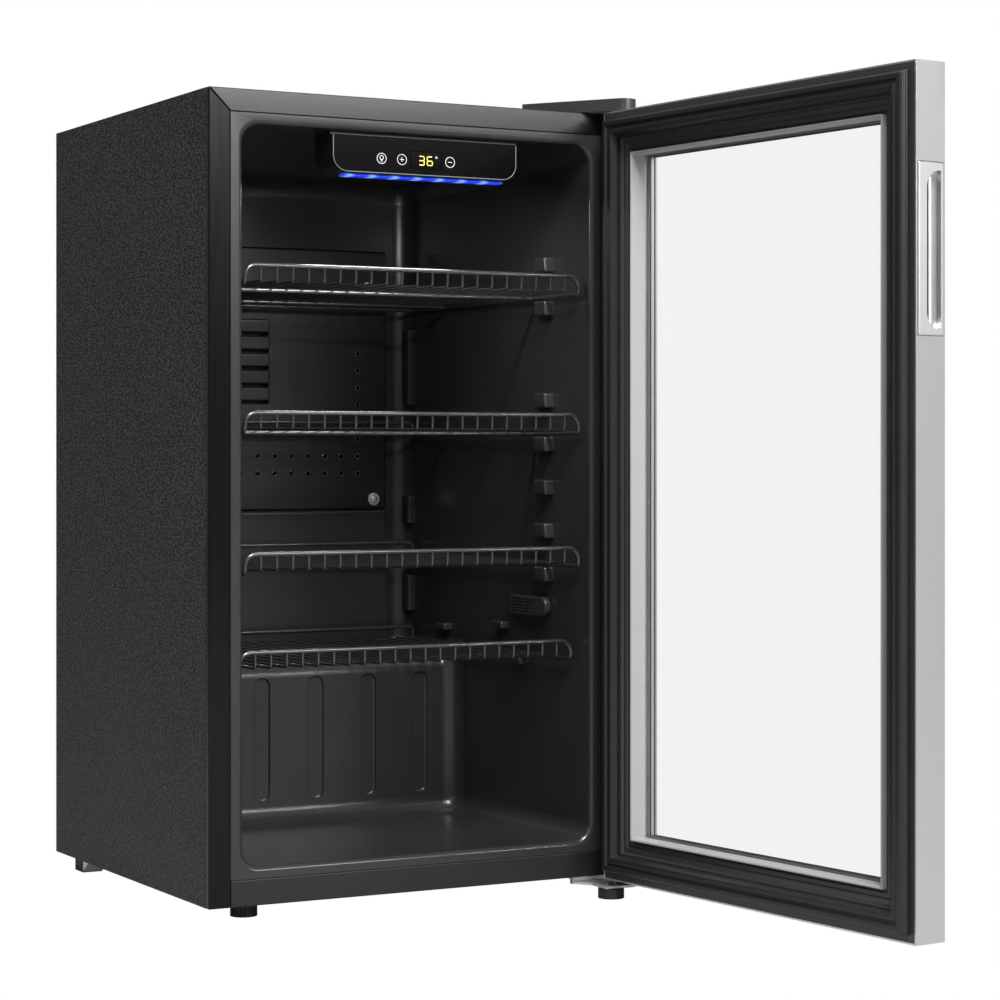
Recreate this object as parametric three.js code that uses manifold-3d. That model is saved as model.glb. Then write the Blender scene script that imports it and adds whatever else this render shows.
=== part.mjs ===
// A glass-door mini fridge: an insulated cabinet with a hinged glass door, four wire shelves
// that slide out, a control panel in the ceiling and a compressor in a bay behind a step
// in the liner. Millimetres, +Z up, +Y to the back, +X to the right of someone facing it.
import * as THREE from 'three';
import { mergeVertices } from 'three/addons/utils/BufferGeometryUtils.js';
import Module from 'manifold-3d';

const wasm = await Module();
wasm.setup();

// ---- driving dimensions ---------------------------------------------------------------
const gap = 0.3; // between pieces that touch
const bite = 5; // how far a cutting tool runs past the face that it cuts

const cabinetWidth = 480;
const cabinetDepth = 452;
const cabinetHeight = 822;
const sheet = 1.2; // steel sheet of the cabinet

const trimWidth = 23.5;
const trimThickness = 8;
const toeHeight = 27;
const toeThickness = 6;

const flangeThickness = 2.5;
const linerWall = 2;
const mouthSide = 37; // cabinet side to the liner's mouth
const mouthBottom = 39;
const mouthTop = 35; // down from the cabinet's top
const mouthRadius = 20;
const rearInsulation = 42; // liner's rear wall to the cabinet's back
const linerTaper = 15; // how far each side wall leans in at the rear
const ceilingFall = 12;
const stepDepth = 121; // the liner's step over the compressor
const stepHeight = 183; // above the liner's floor
const stepRounding = 20;
const rearPlinthSide = 25; // wall to the raised panel above the step
const rearPlinthDepth = 12;
const grooveCount = 5; // upright grooves pressed into the step's front
const grooveWidth = 20;
const grooveDepth = 6;
const grooveOffset = 11.4; // the middle groove to the cabinet's middle
const groovesAcross = 6.11; // the mouth's width in groove pitches
const grooveFoot = 24;
const grooveHead = 19;

const bayInsulation = 32; // foam between the step and the bay
const bayTopInsulation = 30;

const nubWidth = 25;
const nubHeight = 17;
const nubFront = 77;
const nubReach = 11;
const lowNubRise = 109; // step to the lowest full-size support
const lowNubCount = 5;
const highNubFall = 163; // ceiling to the top shelf's support
const highNubCount = 2;
const nubSteps = 6.13; // pitches from the low supports to the high one
const lowestNubRise = 8;
const lowestNubHeight = 10.5;
const lowestNubFront = 130;
const lowestNubWidth = 22;
const smallNubHeight = 9;
const frontSmallNub = 170; // the pair of small supports over the lowest shelf
const rearSmallNub = 84; // the rear one, forward of the shelf's rear
const smallNubLift = 9; // the front one sits this much higher
const holdDownGap = 27; // room between a support and the nub over it
const ribWidth = 18; // upright ribs near the rear corners
const ribReach = 3;
const ribRear = 3; // rib to the rear wall
const ribSpans = [[0.083, 0.162], [0.272, 0.334], [0.53, 0.698]]; // shares of the wall above the step

const railWire = 5;
const runWire = 3;
const shelfClearance = 4.5; // shelf rail to liner wall
const shelfFront = 10;
const shelfRearGap = 26; // rear wall to the shelf
const lowShelfFront = 26;
const secondShelfNub = 3; // supports above the lowest full-size one
const frontRise = 19.5;
const rearRise = 15;
const runCount = 21;
const crossShares = [0.254, 0.775]; // of the shelf's depth
const runInset = 1; // run wire inside the rails
const restGap = 0.4; // shelf rail over its supports

const fasciaOffset = 8; // panel's middle to the cabinet's middle
const fasciaWidth = 218;
const fasciaDrop = 43; // below the mouth's upper edge
const fasciaHeight = 39.5;
const fasciaFront = 8;
const fasciaThickness = 3;
const fasciaRadius = 18;
const keyRadius = 6;
const keyPlay = 0.4;
const keyProud = 0.3; // key face over the fascia
const keyLength = 8.3;
const keyTravelRoom = 1.5;
const keyLift = 17; // keys' middle over the panel's lower edge
const keyOffsets = { key_light: 57, key_plus: 80.5, key_minus: 137 }; // from the panel's left end
const displayOffset = 91;
const displayWidth = 36;
const displayHeight = 18;
const housingDepth = 38;
const lensWidth = 186;
const lensDepth = 14;
const lensHeight = 3.5;

const sensorFront = 78;
const sensorLength = 81;
const sensorLift = 53; // above the step
const sensorHeight = 22;
const sensorReach = 6;

const ductSide = 33; // duct cover to the wall
const ductLift = 167; // above the step
const ductFall = 78; // below the ceiling
const ductDepth = 12;
const ductWall = 2;
const slotCount = 5;
const slotStart = 0.12; // shares of the duct cover's width
const slotShare = 0.387;
const slotHeight = 9;
const slotLift = 0.4; // share of the duct cover's height
const slotPitch = 20;
const holeSize = 4.5;
const holesAcross = 14.35; // the duct cover's width and height in hole pitches
const holesUp = 15.17;
const holeInset = 38;
const holeLift = 43;
const holeColumns = 12;
const holeRows = 2;
const edgeHoles = 6; // the column that climbs the right edge
const pocketInset = 12; // duct cover edge to the pocket behind it
const pocketDepth = 23;
const ductScrews = { // from the duct cover's right edge; negative heights are from its top
  duct_screw_low: { inset: 17, height: 12, radius: 8, head: 3, look: 'greyTrim' },
  duct_screw_high: { inset: 26, height: -40, radius: 3.5, head: 2, look: 'zinc' },
};

const fanRadius = 42;
const fanHub = 14;
const fanBlades = 7;
const fanThickness = 14;
const bladeThickness = 1.6;
const bladeChord = 17;
const bladePitch = 0.65; // radians
const motorRadius = 17;
const motorLength = 12;

const finCount = 12;
const finThickness = 2;
const evaporatorGap = 26; // fan to evaporator
const evaporatorInset = 8;
const evaporatorDepth = 15;
const evaporatorPlate = 3;

const doorThickness = 37;
const doorOverlap = 1; // how far the door reaches under the cabinet's underside
const gasketThickness = 10.2;
const gasketInset = 8;
const gasketWidth = 20;
const closedGap = 0.6; // gasket to cabinet when the door is shut
const doorBorder = 46;
const doorSkin = 2;
const jambThickness = 2.4;
const paneThickness = 4;
const spacerWidth = 4;
const spacerDepth = 7.6;
const glassRecess = 1.5;
const hingeInset = 13; // hinge line to the cabinet's side
const hingeForward = 27; // hinge line to the cabinet's front
const openAngle = 96;

const handleWidth = 33;
const handleHeight = 162;
const handleFall = 256; // door's top to the handle's foot
const handleDepth = 21;
const handleProud = 1.5;
const handleWall = 2.2;
const bezelSide = 4;
const bezelEnd = 8;

const pinRadius = 4;
const pinLength = 15;
const pinPlay = 0.4;
const bushRadius = 7;
const bushOverrun = 1; // lower bush past the end of its pin
const plateThickness = 2.5;
const topPlateLift = 0.4;
const coverHeight = 13;
const coverWall = 1.5;
const coverReach = 89; // from the cabinet's right side
const coverFront = 18;
const coverBack = 58;
const noseRadius = 14;
const plateClearance = 1; // hinge plate to the inside of its cover
const screwRadius = 4;
const screwHead = 2.6;

const armInset = 14;
const armSetback = 6;
const topScrewPlaces = [32, 68]; // from the cover's left end
const topScrewBack = 46;

const bracketReach = 56; // from the cabinet's right side
const bracketInset = 1;
const bracketNose = 16;
const bracketArmFront = 2;
const bracketBack = 64;
const bracketDrop = 5; // how far the bracket steps down in front of the cabinet
const bracketFront = 9;
const bracketScrewInset = 12;
const bracketScrewBack = 48;
const padHalf = 12; // bracket's pad over the right foot
const padFront = 10;

const floorGap = 19; // cabinet underside to the floor
const footRadius = 14;
const studRadius = 3;
const studPlay = 0.4;
const leftFoot = [62, 56];
const rightFootOffset = [-17, -4]; // from the hinge line
const rightStudGap = 1.5; // stud to the door over it
const footDisc = 14;
const rightFootDisc = 10.5;
const rearFootInset = 14;
const rearFootLength = 26;
const rearFootWidth = 24;
const rearFootBack = 24;
const wedgeLength = 26;
const wedgeLift = 1; // the wedge's point over the floor

const compressorRadius = 52;
const compressorHeight = 120;
const compressorShoulder = 74; // where its dome begins
const domeSteps = 4;
const compressorAcross = 150;
const compressorBase = 6; // base plate past the can
const bayClearance = 10;
const relayWidth = 34;
const relayHalf = 22;
const relayLow = 34;
const relayHeight = 58;
const coilRows = 6;
const coilPitch = 18;
const coilTube = 5;
const coilLow = 50;
const trayFront = 14;
const trayHeight = 24;
const trayWall = 2;

const ventRows = 6; // slots in the bay cover
const ventPitch = 18;
const ventHeight = 5;
const ventDrop = 40;
const ventInside = 10;
const ventOutside = 160;

const segments = 24; // flats round a cylinder
const studSegments = 16;
const screwSegments = 12;
const cornerSteps = 5; // flats in a rounded corner
const edgeSteps = 6; // flats in a round edge or nose
const weld = 1e-4;

// ---- places that follow from them -----------------------------------------------------
const middle = cabinetWidth / 2;
const mouthWidth = cabinetWidth - 2 * mouthSide;
const ceiling = cabinetHeight - mouthTop;
const mouthHeight = ceiling - mouthBottom;
const linerDepth = cabinetDepth - rearInsulation;
const stepFront = linerDepth - stepDepth;
const stepTop = mouthBottom + stepHeight;
const bayFront = stepFront + linerWall + bayInsulation;
const bayTop = stepTop - linerWall - bayTopInsulation;
const shellStart = trimThickness + gap;
const backFace = cabinetDepth - sheet;
const floorLevel = -floorGap;
const doorInside = -closedGap - gasketThickness - gap;
const doorOutside = doorInside - doorThickness;
const faceDepth = glassRecess + 2 * paneThickness + spacerDepth + 3 * gap; // steel round the glass
const doorLow = -doorOverlap;
const doorHigh = cabinetHeight - doorOverlap;
const [hingeX, hingeY] = [cabinetWidth - hingeInset, -hingeForward];
const coverLeft = cabinetWidth - coverReach;
const bracketLeft = cabinetWidth - bracketReach;
const rightFoot = [hingeX + rightFootOffset[0], hingeY + rightFootOffset[1]];
const handleBottom = doorHigh - handleFall;

const shelfRear = linerDepth - shelfRearGap;
const lowNubTop = stepTop + lowNubRise;
const highNubTop = ceiling - highNubFall;
const nubPitch = (highNubTop - lowNubTop) / nubSteps;
const lowestNubTop = stepTop + lowestNubRise;

const fasciaLeft = middle + fasciaOffset - fasciaWidth / 2;
const fasciaBottom = ceiling - fasciaDrop;
const keyHeight = fasciaBottom + keyLift;
const displayLeft = fasciaLeft + displayOffset;
const sensorBottom = stepTop + sensorLift;

const ductFront = linerDepth - ductDepth;
const ductLeft = mouthSide + linerTaper + ductSide;
const ductWidth = cabinetWidth - 2 * ductLeft;
const ductBottom = stepTop + ductLift;
const ductHeight = ceiling - ceilingFall - ductFall - ductBottom;
const slotLeft = ductLeft + slotStart * ductWidth;
const slotWidth = slotShare * ductWidth;
const slotBottom = ductBottom + slotLift * ductHeight;
const fanAcross = slotLeft + slotWidth / 2;
const fanHeight = slotBottom + ((slotCount - 1) * slotPitch + slotHeight) / 2;

// how far the side wall has leaned in at depth y
const lean = (y) => (linerTaper * y) / linerDepth;
const wallAt = (y) => mouthSide + lean(y);

// ---- solids ---------------------------------------------------------------------------
function solid(geometry) {
  const plain = geometry.clone();
  plain.deleteAttribute('normal');
  plain.deleteAttribute('uv');
  const merged = mergeVertices(plain, weld);
  const vertProperties = new Float32Array(merged.attributes.position.array);
  const triVerts = new Uint32Array(merged.index.array);
  return new wasm.Manifold(new wasm.Mesh({ numProp: 3, vertProperties, triVerts }));
}

function geometryOf(manifold) {
  const mesh = manifold.getMesh();
  const geometry = new THREE.BufferGeometry();
  geometry.setAttribute('position', new THREE.BufferAttribute(mesh.vertProperties, 3));
  geometry.setIndex(new THREE.BufferAttribute(mesh.triVerts, 1));
  geometry.computeVertexNormals();
  return geometry;
}

const join = (...pieces) => pieces.flat().map(asSolid).reduce((all, piece) => all.add(piece));
const cut = (body, ...tools) =>
  tools.flat().map(asSolid).reduce((rest, tool) => rest.subtract(tool), asSolid(body));
const common = (a, b) => asSolid(a).intersect(asSolid(b));

function asSolid(piece) {
  return piece.isBufferGeometry ? solid(piece) : piece;
}

function block(x0, x1, y0, y1, z0, z1) {
  const geometry = new THREE.BoxGeometry(x1 - x0, y1 - y0, z1 - z0);
  return geometry.translate((x0 + x1) / 2, (y0 + y1) / 2, (z0 + z1) / 2);
}

// an upright round bar, or one along Y
function postZ(x, y, z0, z1, radius, sides = segments) {
  const geometry = new THREE.CylinderGeometry(radius, radius, z1 - z0, sides);
  return geometry.rotateX(Math.PI / 2).translate(x, y, (z0 + z1) / 2);
}

function postY(x, z, y0, y1, radius, sides = segments) {
  const geometry = new THREE.CylinderGeometry(radius, radius, y1 - y0, sides);
  return geometry.translate(x, (y0 + y1) / 2, z);
}

const slab = (outline, depth, curveSegments) =>
  new THREE.ExtrudeGeometry(outline, { depth, bevelEnabled: false, curveSegments });

// an outline drawn in X and Z, given thickness along Y
function slabY(outline, y0, y1) {
  return slab(outline, y1 - y0, cornerSteps).rotateX(Math.PI / 2).translate(0, y1, 0);
}

// an outline drawn in X and Y, given thickness along Z
function slabZ(outline, z0, z1) {
  return slab(outline, z1 - z0, edgeSteps).translate(0, 0, z0);
}

function polygon(points) {
  return new THREE.Shape(points.map(([x, y]) => new THREE.Vector2(x, y)));
}

// lowRadius rounds the two lower corners, highRadius the two upper ones
function roundedRect(x0, x1, z0, z1, lowRadius, highRadius = lowRadius) {
  const shape = new THREE.Shape();
  shape.moveTo(x0 + lowRadius, z0);
  shape.lineTo(x1 - lowRadius, z0);
  shape.absarc(x1 - lowRadius, z0 + lowRadius, lowRadius, -Math.PI / 2, 0);
  shape.lineTo(x1, z1 - highRadius);
  if (highRadius > 0) shape.absarc(x1 - highRadius, z1 - highRadius, highRadius, 0, Math.PI / 2);
  shape.lineTo(x0 + highRadius, z1);
  if (highRadius > 0) shape.absarc(x0 + highRadius, z1 - highRadius, highRadius, Math.PI / 2, Math.PI);
  shape.lineTo(x0, z0 + lowRadius);
  shape.absarc(x0 + lowRadius, z0 + lowRadius, lowRadius, Math.PI, Math.PI * 1.5);
  return shape;
}

// the hollow of the liner, or a shape parallel to it: the mouth grown by `grow` on every
// side, leaning in towards the back
function tunnel(grow, y0, y1) {
  const outline = roundedRect(
    mouthSide - grow, cabinetWidth - mouthSide + grow,
    mouthBottom - grow, cabinetHeight - mouthTop + grow,
    mouthRadius + grow,
  );
  const geometry = slabY(outline, y0, y1);
  const position = geometry.attributes.position;
  for (let i = 0; i < position.count; i += 1) {
    const y = position.getY(i);
    const squeeze = 1 - lean(y) / (mouthWidth / 2);
    const fall = (ceilingFall * y) / linerDepth / mouthHeight;
    const height = position.getZ(i) - mouthBottom;
    position.setX(i, middle + (position.getX(i) - middle) * squeeze);
    position.setZ(i, mouthBottom + height * (1 - fall));
  }
  return geometry;
}

// a straight square bar from one point to another
function bar(from, to, width) {
  const start = new THREE.Vector3(...from);
  const end = new THREE.Vector3(...to);
  const geometry = new THREE.BoxGeometry(width, width, start.distanceTo(end));
  const turn = new THREE.Matrix4().lookAt(end, start, new THREE.Vector3(0, 0, 1));
  geometry.applyMatrix4(turn);
  const centre = start.add(end).multiplyScalar(0.5);
  return geometry.translate(centre.x, centre.y, centre.z);
}

// ---- materials ------------------------------------------------------------------------
const finish = (color, roughness, metalness, extra = {}) =>
  () => new THREE.MeshStandardMaterial({ color, roughness, metalness, ...extra });
const finishes = {
  paintedSteel: finish(0x2b2b2c, 0.6, 0.2),
  trimSteel: finish(0x3a3a3b, 0.35, 0.6),
  zinc: finish(0xa9abad, 0.4, 1),
  stainless: finish(0xb4b6b7, 0.3, 1),
  chrome: finish(0xd8d8d8, 0.08, 1),
  wire: finish(0x5d5d5d, 0.35, 0.7),
  blackPlastic: finish(0x1d1d1e, 0.35, 0),
  glossBlack: finish(0x0a0a0b, 0.1, 0),
  rubber: finish(0x1f1f20, 0.6, 0),
  greyTrim: finish(0xbfc0c1, 0.4, 0.5),
  glass: finish(0xe8efee, 0.02, 0, { transparent: true, opacity: 0.3 }),
  foam: finish(0xd9cfae, 0.9, 0),
  lens: finish(0x3a6cff, 0.3, 0),
  aluminium: finish(0xc4c6c8, 0.4, 1),
  copper: finish(0xb3704a, 0.35, 1),
  darkEnamel: finish(0x141414, 0.4, 0.3),
};

const fridge = new THREE.Group();
const door = new THREE.Group();

function piece(name, shape, look, parent = fridge) {
  const geometry = shape.isBufferGeometry ? shape : geometryOf(shape);
  const mesh = new THREE.Mesh(geometry, finishes[look]());
  mesh.name = name;
  parent.add(mesh);
  return mesh;
}

// ---- cabinet shell --------------------------------------------------------------------
function cabinetShell() {
  const wrap = polygon([
    [0, 0], [sheet, 0], [sheet, cabinetHeight - sheet], [cabinetWidth - sheet, cabinetHeight - sheet],
    [cabinetWidth - sheet, 0], [cabinetWidth, 0], [cabinetWidth, cabinetHeight], [0, cabinetHeight],
  ]);
  piece('outer_shell', slabY(wrap, shellStart, cabinetDepth), 'paintedSteel');

  const inside = sheet + gap;
  const panelTop = cabinetHeight - inside;
  const backPanel = block(inside, cabinetWidth - inside, backFace, cabinetDepth, bayTop, panelTop);
  piece('back_panel', backPanel, 'paintedSteel');

  const coverTop = bayTop - gap;
  const vents = [];
  for (let row = 0; row < ventRows; row += 1) {
    const z = coverTop - ventDrop - row * ventPitch;
    const vent = (x0, x1) => block(x0, x1, backFace - bite, cabinetDepth + bite, z, z + ventHeight);
    vents.push(vent(middle - ventOutside, middle - ventInside));
    vents.push(vent(middle + ventInside, middle + ventOutside));
  }
  const bayCover = block(inside, cabinetWidth - inside, backFace, cabinetDepth, inside, coverTop);
  piece('bay_cover', cut(bayCover, vents), 'paintedSteel');

  const stud = studRadius + studPlay;
  const pan = block(inside, cabinetWidth - inside, shellStart, backFace - gap, 0, sheet);
  const studHole = postZ(...leftFoot, -bite, bite, stud, studSegments);
  piece('base_pan', cut(pan, studHole), 'paintedSteel');

  const bayWall = join(
    block(inside, cabinetWidth - inside, bayFront - sheet, bayFront, sheet + gap, bayTop),
    block(inside, cabinetWidth - inside, bayFront - sheet, backFace - gap, bayTop - sheet, bayTop),
  );
  piece('bay_panel', bayWall, 'zinc');

  const top = cabinetHeight;
  const leftStrip = polygon([[0, 0], [trimWidth, 0], [trimWidth, top - trimWidth], [0, top]]);
  const rightStrip = polygon([
    [cabinetWidth, 0], [cabinetWidth, top],
    [cabinetWidth - trimWidth, top - trimWidth], [cabinetWidth - trimWidth, 0],
  ]);
  const mitre = gap * Math.SQRT2;
  const topStrip = polygon([
    [mitre, top], [trimWidth + mitre, top - trimWidth],
    [cabinetWidth - trimWidth - mitre, top - trimWidth], [cabinetWidth - mitre, top],
  ]);
  piece('front_trim_left', slabY(leftStrip, 0, trimThickness), 'trimSteel');
  piece('front_trim_right', slabY(rightStrip, 0, trimThickness), 'trimSteel');
  piece('front_trim_top', slabY(topStrip, 0, trimThickness), 'trimSteel');

  const toeSide = trimWidth + gap;
  piece('toe_kick', block(toeSide, cabinetWidth - toeSide, 0, toeThickness, 0, toeHeight), 'blackPlastic');
}

// ---- liner and insulation -------------------------------------------------------------
const pocket = {
  left: ductLeft + pocketInset,
  right: ductLeft + ductWidth - pocketInset,
  low: ductBottom + pocketInset,
  high: ductBottom + ductHeight - pocketInset,
  back: linerDepth + pocketDepth,
};

function pocketBlock(grow) {
  return block(
    pocket.left - grow, pocket.right + grow, linerDepth - bite, pocket.back + grow,
    pocket.low - grow, pocket.high + grow,
  );
}

// all that lies under the step, set back by `inset` from its surface
function underStep(inset) {
  const front = stepFront + inset;
  const top = stepTop - inset;
  const radius = stepRounding - inset;
  const outline = new THREE.Shape();
  outline.moveTo(front, -bite);
  outline.lineTo(front, top - radius);
  outline.absarc(front + radius, top - radius, radius, Math.PI, Math.PI / 2, true);
  outline.lineTo(cabinetDepth, top);
  outline.lineTo(cabinetDepth, -bite);
  const across = slab(outline, cabinetWidth + 2 * bite, edgeSteps);
  return across.rotateX(Math.PI / 2).rotateZ(Math.PI / 2).translate(-bite, 0, 0);
}

// the grooves' room, grown by `grow`
function grooves(grow) {
  const half = grooveWidth / 2 + grow;
  const pitch = mouthWidth / groovesAcross;
  const first = middle + grooveOffset - ((grooveCount - 1) / 2) * pitch;
  const rooms = [];
  for (let i = 0; i < grooveCount; i += 1) {
    const x = first + i * pitch;
    const outline = roundedRect(
      x - half, x + half, mouthBottom + grooveFoot - grow, stepTop - grooveHead + grow, half - gap / 2,
    );
    rooms.push(slabY(outline, stepFront - bite, stepFront + grooveDepth + grow));
  }
  return rooms;
}

function linerOutside(grow) {
  const wall = linerWall + grow;
  const whole = tunnel(wall, -grow, linerDepth + wall);
  return join(cut(whole, underStep(wall)), pocketBlock(wall), grooves(wall));
}

// supports moulded in both side walls; each pair holds a shelf rail between them
function wallNubs() {
  const nubs = [];
  const pair = (front, back, top, height) => {
    const reach = wallAt(front) + nubReach;
    const root = wallAt(back) - linerWall / 2;
    nubs.push(block(root, reach, front, back, top - height, top));
    nubs.push(block(cabinetWidth - reach, cabinetWidth - root, front, back, top - height, top));
  };
  const nubBack = nubFront + nubWidth;
  for (let i = 0; i < lowNubCount; i += 1) pair(nubFront, nubBack, lowNubTop + i * nubPitch, nubHeight);
  for (let i = 0; i < highNubCount; i += 1) pair(nubFront, nubBack, highNubTop + i * nubPitch, nubHeight);
  pair(lowestNubFront, lowestNubFront + lowestNubWidth, lowestNubTop, lowestNubHeight);
  const smallTop = lowestNubTop + holdDownGap;
  const rearFront = shelfRear - rearSmallNub;
  pair(frontSmallNub, frontSmallNub + lowestNubWidth, smallTop + smallNubLift, smallNubHeight);
  pair(rearFront, rearFront + lowestNubWidth, smallTop, smallNubHeight);
  return nubs;
}

function rearRibs() {
  const ribs = [];
  const reach = wallAt(linerDepth) + ribReach;
  const root = wallAt(linerDepth) - linerWall / 2;
  const back = linerDepth - ribRear;
  const rise = ceiling - ceilingFall - stepTop;
  for (const span of ribSpans) {
    const [low, high] = span.map((share) => stepTop + share * rise);
    ribs.push(block(root, reach, back - ribWidth, back, low, high));
    ribs.push(block(cabinetWidth - reach, cabinetWidth - root, back - ribWidth, back, low, high));
  }
  return ribs;
}

function liner() {
  const flangeSide = trimWidth + gap;
  const flange = block(
    flangeSide, cabinetWidth - flangeSide, 0, flangeThickness,
    toeHeight + gap, cabinetHeight - trimWidth - gap,
  );
  const plinthLeft = mouthSide + linerTaper + rearPlinthSide;
  const plinth = block(
    plinthLeft, cabinetWidth - plinthLeft, linerDepth - rearPlinthDepth, linerDepth + linerWall / 2,
    stepTop - linerWall / 2, ductBottom - gap,
  );
  const hollow = join(cut(tunnel(0, -bite, linerDepth), underStep(0)), pocketBlock(0), grooves(0));
  const shell = cut(join(linerOutside(0), flange), hollow);
  const body = join(shell, wallNubs(), rearRibs(), plinth);
  const forward = block(-bite, cabinetWidth + bite, -2 * bite, 0, -bite, cabinetHeight);
  piece('liner', cut(body, forward), 'blackPlastic');

  const inside = sheet + gap;
  const filling = block(
    inside, cabinetWidth - inside, shellStart, backFace - gap,
    sheet + gap, cabinetHeight - inside,
  );
  const wallFront = bayFront - sheet - gap;
  const bay = block(-bite, cabinetWidth + bite, wallFront, cabinetDepth + bite, -bite, bayTop + gap);
  piece('insulation', cut(filling, linerOutside(gap), bay), 'foam');
}

// ---- wire shelves ---------------------------------------------------------------------
function wireShelf(name, supportTop, front) {
  const rail = supportTop + restGap + railWire / 2;
  const half = railWire / 2;
  const sideAt = (y) => wallAt(y) + shelfClearance + half;
  const frontSide = sideAt(front);
  const rearSide = sideAt(shelfRear);
  const frontTop = rail + frontRise;
  const rearTop = rail + rearRise;
  const run = rail + half + runWire / 2 - gap;
  const mirror = (x) => cabinetWidth - x;
  const upper = (side, y, z) => block(side - half, mirror(side) + half, y, y + railWire, z - half, z + half);
  const parts = [upper(frontSide, front, frontTop), upper(rearSide, shelfRear - railWire, rearTop)];
  for (const side of [(x) => x, mirror]) {
    const frontX = side(frontSide);
    const rearX = side(rearSide);
    parts.push(block(frontX - half, frontX + half, front, front + railWire, rail - half, frontTop));
    parts.push(block(rearX - half, rearX + half, shelfRear - railWire, shelfRear, rail - half, rearTop));
    parts.push(bar([frontX, front + half, rail], [rearX, shelfRear - half, rail], railWire));
  }
  const crossPlaces = crossShares.map((share) => shelfFront + share * (shelfRear - shelfFront));
  for (const y of [...crossPlaces, shelfRear - railWire]) {
    const side = sideAt(y);
    parts.push(block(side, mirror(side), y, y + railWire, rail - half, rail + half));
  }
  const runSpan = mirror(frontSide) - frontSide;
  for (let i = 1; i <= runCount; i += 1) {
    const x = frontSide + (runSpan * i) / (runCount + 1);
    const thick = runWire / 2;
    const start = front + runInset;
    parts.push(block(x - thick, x + thick, start, start + runWire, run, frontTop));
    parts.push(block(x - thick, x + thick, start, shelfRear - runInset, run - thick, run + thick));
  }
  piece(name, join(parts), 'wire');
}

function shelves() {
  wireShelf('shelf_1', highNubTop, shelfFront);
  wireShelf('shelf_2', lowNubTop + secondShelfNub * nubPitch, shelfFront);
  wireShelf('shelf_3', lowNubTop, shelfFront);
  wireShelf('shelf_4', lowestNubTop, lowShelfFront);
}

// ---- control panel --------------------------------------------------------------------
function controls() {
  const right = fasciaLeft + fasciaWidth;
  const top = fasciaBottom + fasciaHeight;
  const back = fasciaFront + fasciaThickness;
  const centre = fasciaLeft + fasciaWidth / 2;
  const displayLow = keyHeight - displayHeight / 2;
  const keyPlaces = Object.entries(keyOffsets).map(([name, offset]) => [name, fasciaLeft + offset]);
  const underCeiling = tunnel(-gap, 0, linerDepth);

  const face = slabY(roundedRect(fasciaLeft, right, fasciaBottom, top, fasciaRadius, 0), fasciaFront, back);
  const holes = keyPlaces.map(([, x]) => postY(x, keyHeight, 0, back + bite, keyRadius + keyPlay));
  const window = block(
    displayLeft - gap, displayLeft + displayWidth + gap, 0, back + bite,
    displayLow - gap, displayLow + displayHeight + gap,
  );
  piece('control_fascia', cut(face, holes, window), 'glossBlack');
  const glass = block(
    displayLeft, displayLeft + displayWidth, fasciaFront, back, displayLow, displayLow + displayHeight,
  );
  piece('display_window', glass, 'glossBlack');

  const keyFront = fasciaFront - keyProud;
  for (const [name, x] of keyPlaces) {
    piece(name, postY(x, keyHeight, keyFront, keyFront + keyLength, keyRadius), 'glossBlack');
  }

  const seat = back + gap;
  const keyRoom = keyFront + keyLength + keyTravelRoom;
  const front = slabY(
    roundedRect(fasciaLeft, right, fasciaBottom, cabinetHeight, fasciaRadius, 0), seat, seat + housingDepth,
  );
  const wells = keyPlaces.map(([, x]) => postY(x, keyHeight, 0, keyRoom, keyRadius + keyPlay));
  piece('control_housing', cut(common(front, underCeiling), wells), 'blackPlastic');

  const lensLow = fasciaBottom - gap - lensHeight;
  const lensFront = seat + gap;
  const lens = block(
    centre - lensWidth / 2, centre + lensWidth / 2, lensFront, lensFront + lensDepth,
    lensLow, lensLow + lensHeight,
  );
  piece('light_lens', lens, 'lens');

  const lift = sensorHeight / 2;
  const outline = new THREE.Shape();
  outline.moveTo(sensorFront + lift, sensorBottom);
  outline.lineTo(sensorFront + sensorLength, sensorBottom);
  outline.lineTo(sensorFront + sensorLength, sensorBottom + sensorHeight);
  outline.lineTo(sensorFront + lift, sensorBottom + sensorHeight);
  outline.absarc(sensorFront + lift, sensorBottom + lift, lift, Math.PI / 2, Math.PI * 1.5);
  const wall = cabinetWidth - wallAt(sensorFront + sensorLength);
  const body = new THREE.ExtrudeGeometry(outline, {
    depth: sensorReach + linerTaper, bevelEnabled: false, curveSegments: edgeSteps,
  });
  body.rotateX(Math.PI / 2).rotateZ(Math.PI / 2).translate(wall - sensorReach, 0, 0);
  piece('sensor_cover', common(body, underCeiling), 'blackPlastic');
}

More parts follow.
